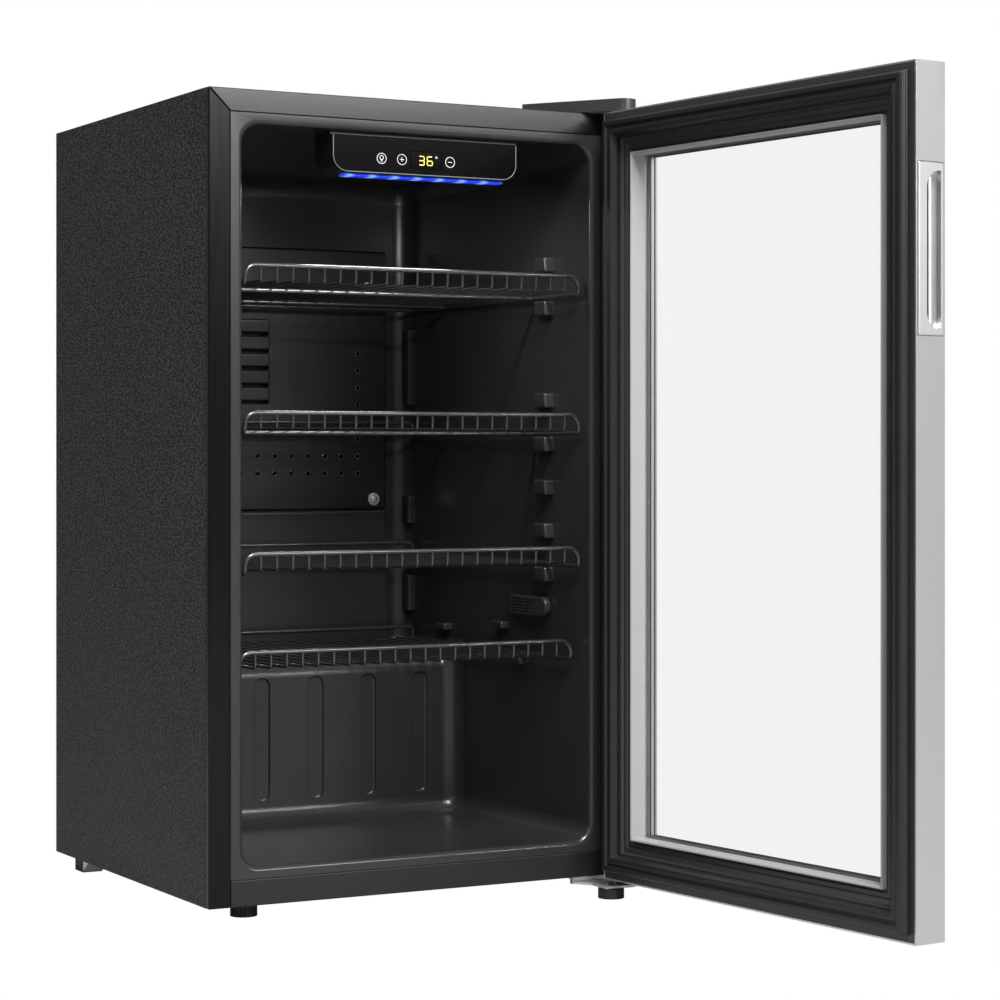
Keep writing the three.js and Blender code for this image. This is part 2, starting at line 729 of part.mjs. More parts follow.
// ---- cold-air duct, fan and evaporator ------------------------------------------------
function coldSide() {
  const right = ductLeft + ductWidth;
  const top = ductBottom + ductHeight;
  const back = linerDepth - gap;
  const openings = [];
  for (let i = 0; i < slotCount; i += 1) {
    const z = slotBottom + i * slotPitch;
    const back = ductFront + ductWall + bite;
    openings.push(block(slotLeft, slotLeft + slotWidth, ductFront - bite, back, z, z + slotHeight));
  }
  const half = holeSize / 2;
  const addHole = (x, z) => openings.push(
    block(x - half, x + half, ductFront - bite, ductFront + ductWall + bite, z - half, z + half),
  );
  const holeRight = right - holeInset;
  const holeBottom = ductBottom + holeLift;
  const pitchX = ductWidth / holesAcross;
  const pitchZ = ductHeight / holesUp;
  for (let column = 0; column < holeColumns; column += 1) {
    const x = holeRight - column * pitchX;
    for (let row = 0; row < holeRows; row += 1) addHole(x, holeBottom + row * pitchZ);
  }
  for (let row = 0; row < edgeHoles; row += 1) addHole(holeRight, holeBottom + (holeRows + row) * pitchZ);
  const shell = block(ductLeft, right, ductFront, back, ductBottom, top);
  const inside = block(
    ductLeft + ductWall, right - ductWall, ductFront + ductWall, back + bite,
    ductBottom + ductWall, top - ductWall,
  );
  piece('duct_cover', cut(shell, inside, openings), 'blackPlastic');

  for (const [name, screw] of Object.entries(ductScrews)) {
    const z = screw.height < 0 ? top + screw.height : ductBottom + screw.height;
    const seat = ductFront - gap;
    const head = postY(right - screw.inset, z, seat - screw.head, seat, screw.radius, studSegments);
    piece(name, head, screw.look);
  }

  const fanBack = pocket.back - gap - motorLength - gap;
  const fanFront = fanBack - fanThickness;
  const blades = [];
  for (let i = 0; i < fanBlades; i += 1) {
    const blade = new THREE.BoxGeometry(fanRadius - fanHub / 2, bladeThickness, bladeChord);
    blade.rotateX(bladePitch).translate(fanHub / 2 + (fanRadius - fanHub / 2) / 2, 0, 0);
    blade.rotateY((i * 2 * Math.PI) / fanBlades).translate(fanAcross, (fanFront + fanBack) / 2, fanHeight);
    blades.push(blade);
  }
  piece('fan_impeller', join(postY(fanAcross, fanHeight, fanFront, fanBack, fanHub), blades), 'blackPlastic');
  const motor = postY(fanAcross, fanHeight, fanBack + gap, pocket.back - gap, motorRadius);
  piece('fan_motor', motor, 'darkEnamel');

  const evaporatorLeft = fanAcross + fanRadius + evaporatorGap;
  const evaporatorRight = pocket.right - evaporatorInset;
  const span = evaporatorRight - evaporatorLeft;
  const low = pocket.low + evaporatorInset;
  const high = pocket.high - evaporatorInset;
  const finBack = pocket.back - gap;
  const fins = [block(evaporatorLeft, evaporatorRight, finBack - evaporatorPlate, finBack, low, high)];
  for (let i = 0; i < finCount; i += 1) {
    const x = evaporatorLeft + ((span - finThickness) * i) / (finCount - 1);
    fins.push(block(x, x + finThickness, finBack - evaporatorDepth, finBack, low, high));
  }
  piece('evaporator', join(fins), 'aluminium');
}

// ---- compressor bay -------------------------------------------------------------------
function bay() {
  const ledge = sheet + gap;
  const depthMiddle = (bayFront + backFace) / 2;
  const base = compressorRadius + compressorBase;
  const profile = [[0, 0], [base, 0], [base, compressorBase / 2], [compressorRadius, compressorBase]];
  for (let step = 0; step < domeSteps; step += 1) {
    const angle = (Math.PI / 2) * (step / domeSteps);
    const rise = (compressorHeight - compressorShoulder) * Math.sin(angle);
    profile.push([compressorRadius * Math.cos(angle), compressorShoulder + rise]);
  }
  profile.push([0, compressorHeight]);
  const corners = profile.map(([radius, z]) => new THREE.Vector2(radius, z));
  const can = new THREE.LatheGeometry(corners, segments).rotateX(Math.PI / 2);
  piece('compressor', can.translate(compressorAcross, depthMiddle, ledge), 'darkEnamel');

  const relayLeft = compressorAcross + base + gap;
  const relay = block(
    relayLeft, relayLeft + relayWidth, depthMiddle - relayHalf, depthMiddle + relayHalf,
    relayLow, relayLow + relayHeight,
  );
  piece('start_relay', relay, 'blackPlastic');

  const coilLeft = relayLeft + relayWidth + bayClearance;
  const coilRight = cabinetWidth - sheet - gap - bayClearance;
  const coilFront = bayFront + bayClearance;
  const tubes = [];
  const tubeBack = coilFront + coilTube;
  for (let row = 0; row < coilRows; row += 1) {
    const z = coilLow + row * coilPitch;
    tubes.push(block(coilLeft, coilRight, coilFront, tubeBack, z, z + coilTube));
    const end = row % 2 ? coilLeft : coilRight - coilTube;
    const bend = block(end, end + coilTube, coilFront, tubeBack, z, z + coilPitch + coilTube);
    if (row < coilRows - 1) tubes.push(bend);
  }
  piece('condenser', join(tubes), 'copper');

  const trayStart = coilFront + trayFront;
  const trayEnd = backFace - bayClearance;
  const tray = block(coilLeft, coilRight, trayStart, trayEnd, ledge, ledge + trayHeight);
  const well = block(
    coilLeft + trayWall, coilRight - trayWall, trayStart + trayWall, trayEnd - trayWall,
    ledge + trayWall, ledge + trayHeight + bite,
  );
  piece('drip_tray', cut(tray, well), 'blackPlastic');
}

// ---- hinges ---------------------------------------------------------------------------
// an arm from the cabinet out to the hinge line, with a round nose; its straight edges
// begin at `front` on the left and at `sideFront` on the right
function armOutline(left, front, back, nose, side, sideFront) {
  const shape = new THREE.Shape();
  shape.moveTo(left, front);
  const dx = left - hingeX;
  const dy = front - hingeY;
  const tangent = Math.atan2(dy, dx) + Math.acos(nose / Math.hypot(dx, dy));
  shape.absarc(hingeX, hingeY, nose, tangent, 2 * Math.PI);
  shape.lineTo(side, sideFront);
  shape.lineTo(side, back);
  shape.lineTo(left, back);
  return shape;
}

function hinges() {
  const plateLow = cabinetHeight + topPlateLift;
  const plateHigh = plateLow + plateThickness;
  const inset = coverWall + plateClearance;
  const arm = armOutline(
    coverLeft + armInset, coverFront + armSetback, coverBack - inset,
    noseRadius - inset, hingeX + noseRadius - inset, coverFront,
  );
  const topPin = postZ(hingeX, hingeY, cabinetHeight - pinLength, plateHigh, pinRadius);
  piece('top_hinge_plate', join(slabZ(arm, plateLow, plateHigh), topPin), 'zinc');

  topScrewPlaces.forEach((place, i) => {
    const seat = plateHigh + gap;
    const screw = postZ(coverLeft + place, topScrewBack, seat, seat + screwHead, screwRadius, screwSegments);
    piece(`top_hinge_screw_${i + 1}`, screw, 'zinc');
  });

  const coverTop = cabinetHeight + coverHeight;
  const outside = armOutline(coverLeft, coverFront, coverBack, noseRadius, hingeX + noseRadius, coverFront);
  const room = armOutline(
    coverLeft + coverWall, coverFront + coverWall, coverBack - coverWall,
    noseRadius - coverWall, hingeX + noseRadius - coverWall, coverFront,
  );
  const shell = cut(
    slabZ(outside, cabinetHeight + gap, coverTop), slabZ(room, cabinetHeight - bite, coverTop - coverWall),
  );
  piece('top_hinge_cover', shell, 'blackPlastic');

  const rearHigh = -gap;
  const rearLow = rearHigh - plateThickness;
  const frontHigh = rearHigh - bracketDrop;
  const frontLow = frontHigh - plateThickness;
  const right = cabinetWidth - bracketInset;
  const frontArm = armOutline(
    bracketLeft, bracketArmFront, bracketFront, bracketNose, right, bracketArmFront,
  );
  const bottomPin = postZ(hingeX, hingeY, frontLow, pinLength, pinRadius);
  const stud = studRadius + studPlay;
  const [footX, footY] = rightFoot;
  const footPad = block(
    footX - padHalf, footX + padHalf, footY - padFront, bracketFront, frontLow, frontHigh,
  );
  const riser = bracketFront - plateThickness;
  const bracket = join(
    block(bracketLeft, right, bracketFront, bracketBack, rearLow, rearHigh),
    block(bracketLeft, right, riser, bracketFront + plateThickness, frontLow, rearHigh),
    slabZ(frontArm, frontLow, frontHigh), footPad, bottomPin,
  );
  const studHole = postZ(...rightFoot, frontLow - bite, frontHigh + bite, stud, studSegments);
  piece('bottom_hinge_bracket', cut(bracket, studHole), 'zinc');

  const washer = cut(
    postZ(hingeX, hingeY, frontHigh + gap, doorLow - gap, bushRadius),
    postZ(hingeX, hingeY, frontLow, doorHigh, pinRadius + gap),
  );
  piece('hinge_washer', washer, 'blackPlastic');
  [bracketLeft + bracketScrewInset, right - bracketScrewInset].forEach((x, i) => {
    const seat = rearLow - gap;
    const screw = postZ(x, bracketScrewBack, seat - screwHead, seat, screwRadius, screwSegments);
    piece(`bottom_hinge_screw_${i + 1}`, screw, 'zinc');
  });
}

// ---- feet -----------------------------------------------------------------------------
function feet() {
  const level = (name, [x, y], disc, studTop) => {
    const foot = join(
      postZ(x, y, floorLevel, floorLevel + disc, footRadius, segments),
      postZ(x, y, floorLevel + disc / 2, studTop, studRadius, studSegments),
    );
    piece(name, foot, 'rubber');
  };
  level('foot_front_left', leftFoot, footDisc, sheet);
  level('foot_front_right', rightFoot, rightFootDisc, doorLow - rightStudGap);

  const back = cabinetDepth - rearFootBack;
  for (const side of ['left', 'right']) {
    const x0 = side === 'left' ? rearFootInset : cabinetWidth - rearFootInset - rearFootWidth;
    const x1 = x0 + rearFootWidth;
    piece(`rear_foot_${side}`, block(x0, x1, back - rearFootLength, back, floorLevel, -gap), 'rubber');
    const wedgeFront = back - rearFootLength - gap;
    const point = floorLevel + wedgeLift;
    const wedge = polygon([[wedgeFront - wedgeLength, -gap], [wedgeFront, point], [wedgeFront, -gap]]);
    const bracket = new THREE.ExtrudeGeometry(wedge, { depth: rearFootWidth, bevelEnabled: false });
    bracket.rotateX(Math.PI / 2).rotateZ(Math.PI / 2).translate(x0, 0, 0);
    piece(`rear_bracket_${side}`, bracket, 'zinc');
  }
}

// ---- door, built shut and then swung open ---------------------------------------------
function ring(inset, width, y0, y1, side = 0) {
  const low = doorLow + inset;
  const high = doorHigh - inset;
  const left = side + inset;
  const right = cabinetWidth - side - inset;
  return cut(
    block(left, right, y0, y1, low, high),
    block(left + width, right - width, y0 - bite, y1 + bite, low + width, high - width),
  );
}

function doorPieces() {
  const faceBack = doorOutside + faceDepth;
  const pocketSide = (doorThickness - handleWidth) / 2;
  const handleFront = doorOutside + pocketSide;
  const handleBack = doorInside - pocketSide;
  const handleHigh = handleBottom + handleHeight;
  const handleRoom = block(
    -bite, handleDepth + gap, handleFront - gap, handleBack + gap, handleBottom - gap, handleHigh + gap,
  );
  const bushRoomTop = postZ(hingeX, hingeY, doorHigh - pinLength - gap, doorHigh + bite, bushRadius + gap);
  const lowBushTop = pinLength + bushOverrun;
  const bushRoomLow = postZ(hingeX, hingeY, doorLow - bite, lowBushTop + gap, bushRadius + gap);

  const face = ring(0, doorBorder, doorOutside, faceBack);
  const frame = join(face, ring(0, doorSkin, faceBack - gap, doorInside));
  piece('door_frame', cut(frame, handleRoom, bushRoomTop, bushRoomLow), 'stainless', door);

  const inner = ring(doorSkin + gap, doorBorder - doorSkin - gap, faceBack + gap, doorInside);
  piece('door_inner_frame', cut(inner, handleRoom, bushRoomTop, bushRoomLow), 'blackPlastic', door);
  piece('window_jamb', ring(doorBorder + gap, jambThickness, faceBack + gap, doorInside), 'greyTrim', door);

  const paneInset = doorBorder + gap;
  const pane = (name, y) => {
    const glass = block(
      paneInset, cabinetWidth - paneInset, y, y + paneThickness, doorLow + paneInset, doorHigh - paneInset,
    );
    piece(name, glass, 'glass', door);
  };
  const outerPane = doorOutside + glassRecess;
  const spacerFront = outerPane + paneThickness + gap;
  const spacerBack = spacerFront + spacerDepth;
  pane('outer_pane', outerPane);
  pane('inner_pane', spacerBack + gap);
  piece('pane_spacer', ring(paneInset, spacerWidth, spacerFront, spacerBack), 'aluminium', door);

  const gasketFront = doorInside + gap;
  const gasketBack = gasketFront + gasketThickness;
  const seal = ring(gasketInset + doorOverlap, gasketWidth, gasketFront, gasketBack, -doorOverlap);
  piece('door_gasket', seal, 'rubber', door);

  const cup = cut(
    block(-handleProud, handleDepth, handleFront, handleBack, handleBottom, handleHigh),
    block(
      -handleProud - bite, handleDepth - handleWall, handleFront + bezelSide, handleBack - bezelSide,
      handleBottom + bezelEnd, handleHigh - bezelEnd,
    ),
  );
  piece('door_handle', cup, 'chrome', door);

  const bore = pinRadius + pinPlay;
  const topBush = cut(
    postZ(hingeX, hingeY, doorHigh - pinLength, doorHigh, bushRadius),
    postZ(hingeX, hingeY, 0, cabinetHeight + bite, bore),
  );
  const lowBush = cut(
    postZ(hingeX, hingeY, doorLow, lowBushTop, bushRadius),
    postZ(hingeX, hingeY, -bite, cabinetHeight, bore),
  );
  piece('door_bush_top', topBush, 'blackPlastic', door);
  piece('door_bush_bottom', lowBush, 'blackPlastic', door);
}

cabinetShell();
liner();
shelves();
controls();
coldSide();
bay();
hinges();
feet();
doorPieces();

// the door's pieces turn together about the hinge line
for (const mesh of door.children) mesh.position.set(-hingeX, -hingeY, 0);
door.position.set(hingeX, hingeY, 0);
door.rotation.z = THREE.MathUtils.degToRad(openAngle);
fridge.add(door);

// the origin is the middle of the whole object's underside, with the door open
fridge.updateMatrixWorld(true);
const bounds = new THREE.Box3().setFromObject(fridge, true);
fridge.position.set(-(bounds.min.x + bounds.max.x) / 2, -(bounds.min.y + bounds.max.y) / 2, -bounds.min.z);

export default fridge;
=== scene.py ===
import math

import bmesh
import bpy
from mathutils import Matrix, Vector


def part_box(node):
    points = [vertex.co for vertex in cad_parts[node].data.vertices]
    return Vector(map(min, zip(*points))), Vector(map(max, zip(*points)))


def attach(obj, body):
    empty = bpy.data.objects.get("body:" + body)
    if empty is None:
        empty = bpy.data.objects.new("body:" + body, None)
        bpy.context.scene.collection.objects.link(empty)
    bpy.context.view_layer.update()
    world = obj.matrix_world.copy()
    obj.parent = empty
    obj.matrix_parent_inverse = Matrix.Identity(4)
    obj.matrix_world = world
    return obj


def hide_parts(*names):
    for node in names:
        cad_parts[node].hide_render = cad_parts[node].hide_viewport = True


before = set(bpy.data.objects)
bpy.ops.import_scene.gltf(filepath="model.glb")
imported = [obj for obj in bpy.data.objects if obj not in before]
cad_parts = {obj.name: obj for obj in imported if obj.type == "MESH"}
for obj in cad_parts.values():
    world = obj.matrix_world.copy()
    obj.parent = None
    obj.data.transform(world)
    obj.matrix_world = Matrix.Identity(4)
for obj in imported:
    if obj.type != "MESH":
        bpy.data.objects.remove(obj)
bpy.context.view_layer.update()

# ---- sizes, in metres, measured from the cabinet's lower left front corner --------------
HOME = Vector(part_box("front_trim_left")[0])
CABINET = Vector(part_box("outer_shell")[1]) - HOME
MIDDLE = CABINET.x / 2

MOUTH_SIDE = 0.037
MOUTH_LOW = 0.039
MOUTH_HIGH = CABINET.z - 0.035
LINER_DEPTH = 0.410
LINER_TAPER = 0.015
CEILING_FALL = 0.012
STEP_FRONT = 0.289
STEP_TOP = 0.222
LINER_ROUNDING = 0.020
LIP = 0.005
LINER_WALL = 0.002
FLANGE_INSET = 0.0238
TOE_TOP = 0.0273
PLINTH_SIDE = 0.077
PLINTH_TOP = 0.389
PLINTH_DEPTH = 0.012
PLINTH_LEAN = 0.955  # of its width, at the top

NUB_FRONT = 0.077
NUB_LENGTH = 0.025
NUB_REACH = 0.011
NUB_HEIGHT = 0.017
NUB_DRAFT = 0.19  # how far the front runs forward to its foot, as a share of the height
NUB_PITCH = 0.0478
NUB_TOPS = [0.331 + NUB_PITCH * step for step in range(5)] + [0.624, 0.624 + NUB_PITCH]
LOW_NUBS = [  # front, length, top and height of the small supports round the lowest shelf
    (0.130, 0.022, 0.230, 0.0105), (0.170, 0.021, 0.266, 0.009), (0.300, 0.022, 0.257, 0.009),
]
REAR_RIBS = [(0.266, 0.310), (0.371, 0.405), (0.513, 0.605)]  # low and high ends
RIB_FRONT = 0.389
RIB_REAR = 0.407
RIB_REACH = 0.008
GROOVE_WIDTH = 0.020
GROOVE_LOW = 0.063
GROOVE_HIGH = 0.203
GROOVE_DEPTH = 0.003
GROOVE_PLACES = [MIDDLE + 0.0114 + 0.06645 * step for step in range(-2, 3)]

RAIL_WIRE = 0.0025
RUN_WIRE = 0.0015
RUN_COUNT = 21
RAIL_SIDES = 10
REAR_DROP = 0.0045
WELD = 0.0006
FRONT_BEND = 0.0125
RAIL_BEND = 0.0055
RUN_BEND = 0.004
CROSS_WIRES = [0.1075, 0.3025]

FASCIA_KEYS = 0.761
KEY_RING = 0.0056
PRINT = 0.0001  # half the thickness of a printed mark
LENS_HEIGHT = 0.0021
LAMP_PITCH = 0.0262

SLOT_SPAN = (0.122, 0.242)
SLOT_HEIGHT = 0.009
SLOT_PITCH = 0.020
SLOT_PLACES = [0.513 + SLOT_PITCH * step for step in range(5)]
HOLE_RADIUS = 0.0028
HOLE_PITCH = (0.0216, 0.0203)
HOLE_START = (0.357, 0.432)
HOLE_COLUMNS = 12
HOLE_ROWS = 2
HOLE_CLIMB = 8  # rows in the column by the right edge

HANDLE_LOW = 0.565
HANDLE_WIDTH = 0.033
HANDLE_HEIGHT = 0.162
POCKET_FLOOR = 0.0085

HINGE = HOME + Vector((CABINET.x - 0.013, -0.027, 0))
OPEN_ANGLE = math.radians(96)
DOOR_INSIDE = -0.0111
DOOR_OUTSIDE = -0.0481
DOOR_LOW = -0.001
DOOR_HIGH = CABINET.z - 0.001
DOOR_SIDE = 0.0463  # the door's edge to the window's opening
FRAME_BACK = -0.0298  # how deep the inner frame and the window's lining go

STUDIO_WHITE = (1.0, 1.0, 1.0, 1.0)


def spot(x, y, z):
    """A place on the cabinet, in the frame's own coordinates."""
    return HOME + Vector((x, y, z))


# ---- materials --------------------------------------------------------------------------
class Value:
    """A node's output, so that shader maths is written as an expression."""

    def __init__(self, look, socket):
        self.look = look
        self.socket = socket

    def _math(self, operation, a, b):
        return self.look.node("Math", {"operation": operation, "use_clamp": False}, {0: a, 1: b})

    def __add__(self, other):
        return self._math("ADD", self, other)

    __radd__ = __add__

    def __mul__(self, other):
        return self._math("MULTIPLY", self, other)

    __rmul__ = __mul__

    def __sub__(self, other):
        return self._math("SUBTRACT", self, other)

    def __rsub__(self, other):
        return self._math("SUBTRACT", other, self)


class Look:
    """A procedural material and the record's slot that it belongs to."""

    def __init__(self, name, slot, **constants):
        self.slot = slot
        self.material = bpy.data.materials.new(name)
        self.material.use_nodes = True
        self.tree = self.material.node_tree
        self.shader = self.tree.nodes["Principled BSDF"]
        for socket, value in constants.items():
            self.shader.inputs[socket.replace("_", " ")].default_value = value

    def node(self, kind, settings=None, inputs=None, output=0):
        made = self.tree.nodes.new("ShaderNode" + kind)
        for key, value in (settings or {}).items():
            setattr(made, key, value)
        for key, value in (inputs or {}).items():
            self.join(value, made.inputs[key])
        return Value(self, made.outputs[output])

    def join(self, value, socket):
        if isinstance(value, Value):
            self.tree.links.new(value.socket, socket)
        else:
            socket.default_value = value

    def feed(self, socket, value):
        self.join(value, self.shader.inputs[socket])

    def place(self, stretch=(1, 1, 1), turn=(0, 0, 0)):
        """Object coordinates, stretched or turned."""
        raw = self.node("TexCoord", output="Object")
        return self.node("Mapping", None, {"Vector": raw, "Rotation": turn, "Scale": stretch})

    def noise(self, scale, detail=2.0, roughness=0.5, stretch=(1, 1, 1), turn=(0, 0, 0)):
        where = self.place(stretch, turn)
        sockets = {"Vector": where, "Scale": scale, "Detail": detail, "Roughness": roughness}
        return self.node("TexNoise", None, sockets)

    def mix(self, factor, dark, light):
        """Between two colours."""
        return self.node("Mix", {"data_type": "RGBA"}, {0: factor, 6: dark, 7: light}, output=2)

    def bump(self, height, strength, distance=0.001):
        self.feed("Normal", self.node("Bump", None, {
            "Height": height, "Strength": strength, "Distance": distance,
        }))


def grey(value, tint=0.0):
    """A linear grey; a small tint leans it to blue."""
    return (value * (1 - tint), value, value * (1 + tint), 1.0)


def hammered_paint():
    """Dark paint with a leather-like grain."""
    look = Look("hammered_paint", "painted_steel", Metallic=0.0, Specular_IOR_Level=0.25)
    grain = look.noise(330, 3.0, 0.6, (0.6, 0.6, 1.5))
    broad = look.noise(2.2, 2.0)
    look.feed("Base Color", look.mix(grain * 8.0 - 3.7 + broad * 0.3, grey(0.0005), grey(0.056)))
    look.feed("Roughness", 0.38 + grain * 0.2)
    look.bump(grain, 0.9, 0.0012)
    return look


def brushed(name, slot, colour, stretch, rough, metal=1.0, turn=(0, 0, 0), contrast=0.25):
    """Rolled metal with fine lines along one direction; colour is a linear grey."""
    look = Look(name, slot, Metallic=metal)
    lines = look.noise(9, 6.0, 0.65, stretch, turn)
    broad = look.noise(3, 1.0)
    look.feed("Base Color", look.mix(
        lines * contrast + broad * 0.2, grey(colour * 0.82), grey(min(1.0, colour * 1.18)),
    ))
    look.feed("Roughness", rough + lines * 0.10)
    look.bump(lines, 0.06, 0.0002)
    return look


def moulded(name, slot, colour, rough, grain=900, depth=0.10, tint=0.0, spread=0.3, **constants):
    """Moulded plastic, rubber or paint: a faint tone drift and a fine skin."""
    look = Look(name, slot, **constants)
    drift = look.noise(5, 2.0)
    skin = look.noise(grain, 2.0)
    look.feed("Base Color", look.mix(
        drift, grey(colour * (1 - spread), tint), grey(colour * (1 + spread), tint),
    ))
    look.feed("Roughness", (rough - 0.04) + drift * 0.05 + skin * 0.04)
    look.bump(skin, depth, 0.0002)
    return look


def tinted(name, slot, colour, rough, metal):
    """Copper, foam and other coloured stock."""
    look = Look(name, slot, Metallic=metal)
    drift = look.noise(18, 4.0)
    dark = tuple(part * 0.75 for part in colour) + (1.0,)
    look.feed("Base Color", look.mix(drift, dark, tuple(colour) + (1.0,)))
    look.feed("Roughness", rough + drift * 0.12)
    look.bump(drift, 0.12, 0.001)
    return look


def clear_glass():
    """Clear panes: mostly see-through, with a faint haze and a mirror-like skin."""
    look = Look("window_glass", "glass", IOR=1.45, Alpha=0.030)
    haze = look.noise(2.0, 1.0)
    look.feed("Base Color", look.mix(haze, grey(0.05), grey(0.07)))
    look.feed("Roughness", 0.02 + haze * 0.02)
    return look


def lit_lens():
    """Blue strip light with a row of lamps behind the lens."""
    look = Look("lit_lens", "light_lens", Emission_Strength=1.25)
    where = look.place()
    split = look.node("SeparateXYZ", None, {0: where})
    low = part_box("light_lens")[0]
    wave = look.node("Math", {"operation": "SINE"}, {0: (split - low[0]) * (math.tau / LAMP_PITCH)})
    peaks = look.node("Math", {"operation": "POWER"}, {0: wave * 0.5 + 0.5, 1: 4.0})
    look.feed("Base Color", look.mix(peaks, (0.01, 0.03, 0.35, 1), (0.1, 0.2, 0.7, 1)))
    look.feed("Emission Color", look.mix(peaks, (0.010, 0.025, 0.60, 1), (0.14, 0.34, 0.95, 1)))
    look.feed("Roughness", 0.25 + peaks * 0.1)
    return look


def glowing(name, slot, colour, strength):
    """A glowing mark or digit; the digits are lit, while on the printed marks the glow is painted light."""
    look = Look(name, slot, Emission_Strength=strength)
    drift = look.noise(900, 1.0)
    dim = tuple(part * 0.85 for part in colour) + (1.0,)
    look.feed("Emission Color", look.mix(drift, dim, tuple(colour) + (1.0,)))
    look.feed("Base Color", look.mix(drift, dim, tuple(colour) + (1.0,)))
    look.feed("Roughness", 0.4 + drift * 0.1)
    return look


DOOR_TURN = (0, 0, -OPEN_ANGLE)
PAINT = hammered_paint()
TRIM = brushed("dark_trim", "trim_steel", 0.018, (60, 60, 1.2), 0.13, 0.9, contrast=0.9)
# the top strip is the same trim steel as the sides, its lines running across; its lighter grey is a painted
# sheen for the light it reflects from above
TRIM_TOP_PAINTED_SHEEN = brushed("dark_trim_top_painted_sheen", "trim_steel", 0.042, (1.2, 60, 60), 0.20, 0.9, contrast=0.9)
LINER = moulded("liner_plastic", "black_plastic", 0.0220, 0.24, 700, 0.03)
# the toe strip is the same black plastic, given a darker grey: painted shade for the shadow it sits in
TOE = moulded("toe_plastic_painted_shade", "black_plastic", 0.003, 0.45, 900, 0.10)
BLACK = moulded("black_plastic", "black_plastic", 0.010, 0.36, 900, 0.12)
DUCT = moulded("duct_plastic", "black_plastic", 0.006, 0.34, 800, 0.10)
GLOSS = moulded("fascia_gloss", "gloss_black", 0.0022, 0.14, 400, 0.01, Specular_IOR_Level=0.09)
# a pale grey on the gloss black, along the fascia's edge: a painted highlight for the light caught on that
# edge
GLOSS_EDGE_HIGHLIGHT = moulded("fascia_edge_highlight", "gloss_black", 0.16, 0.25, 500, 0.02)
RUBBER = moulded("gasket_rubber", "rubber", 0.011, 0.32, 1200, 0.01, spread=0.1)
FOOT = moulded("foot_rubber", "rubber", 0.012, 0.50, 1000, 0.2)
JAMB = moulded("jamb_trim", "grey_trim", 0.34, 0.35, 900, 0.04, spread=0.05)
WIRE = moulded("coated_wire", "coated_wire", 0.020, 0.20, 1500, 0.04, Specular_IOR_Level=1.0)
# a lighter copy of the black plastic for the door's inner frame, the hinge cover and the sensor grille: the
# lighter grey is a painted sheen for the reflections on them
DOOR_BLACK_PAINTED_SHEEN = moulded("door_frame_black_painted_sheen", "black_plastic", 0.030, 0.24, 900, 0.01, spread=0.1)
STEEL = brushed("door_steel", "stainless", 0.76, (1.4, 70, 70), 0.26, 1.0, DOOR_TURN, 0.3)
CHROME = brushed("handle_chrome", "chrome", 0.88, (1, 1, 1), 0.30, 1.0, DOOR_TURN, 0.1)
ZINC = brushed("zinc_plate", "zinc", 0.86, (9, 9, 9), 0.38, 1.0, (0, 0, 0), 0.4)
ALUMINIUM = brushed("aluminium_bar", "aluminium", 0.62, (40, 40, 2), 0.32)
GLASS = clear_glass()
LENS = lit_lens()
# the rims are moulded in the duct's plastic; their lighter, glossier grey is a painted glint
RIM_PAINTED_GLINT = moulded("hole_rim", "black_plastic", 0.040, 0.16, 900, 0.02)
DIGITS = glowing("amber_digit", "gloss_black", (0.80, 0.62, 0.10), 0.68)
# the pale marks are print, given a faint glow: painted light, as they are no lamp
MARKS_PAINTED_GLOW = glowing("pale_mark_painted_glow", "gloss_black", (0.62, 0.62, 0.64), 0.35)
FOAM = tinted("foam_fill", "foam", (0.66, 0.58, 0.38), 0.85, 0.0)
COPPER = tinted("copper_tube", "copper", (0.55, 0.22, 0.10), 0.30, 1.0)
ENAMEL = moulded("dark_enamel", "dark_enamel", 0.012, 0.35, 300, 0.1)

CARRIED_OVER = {
    PAINT: ["back_panel", "bay_cover"],
    ZINC: ["base_pan", "bay_panel", "top_hinge_plate"],
    FOAM: ["insulation"],
    BLACK: [
        "start_relay", "drip_tray", "fan_impeller", "hinge_washer", "door_bush_top", "door_bush_bottom",
    ],
    ALUMINIUM: ["evaporator"],
    COPPER: ["condenser"],
    ENAMEL: ["compressor", "fan_motor"],
}


# ---- working by hand --------------------------------------------------------------------
def only(piece):
    """Selects one piece and nothing else."""
    bpy.ops.object.select_all(action="DESELECT")
    piece.select_set(True)
    bpy.context.view_layer.objects.active = piece


def named(name):
    """The piece that was just made, under its name."""
    piece = bpy.context.object
    piece.name = name
    piece.data.name = name
    return piece


def settle(piece):
    """Puts the piece's place, turn and size into its mesh."""
    only(piece)
    bpy.ops.object.transform_apply(location=True, rotation=True, scale=True)
    return piece


def block(name, low, high):
    """A cube between two corners."""
    bpy.ops.object.select_all(action="DESELECT")
    bpy.ops.mesh.primitive_cube_add(size=1, location=(low + high) / 2)
    piece = named(name)
    piece.scale = high - low
    return settle(piece)


def disc(name, centre, radius, thickness, axis, sides=32):
    """A cylinder whose axis is a unit vector."""
    bpy.ops.object.select_all(action="DESELECT")
    turn = Vector(axis).to_track_quat("Z", "Y").to_euler()
    bpy.ops.mesh.primitive_cylinder_add(
        vertices=sides, radius=radius, depth=thickness, location=centre, rotation=turn,
    )
    return settle(named(name))


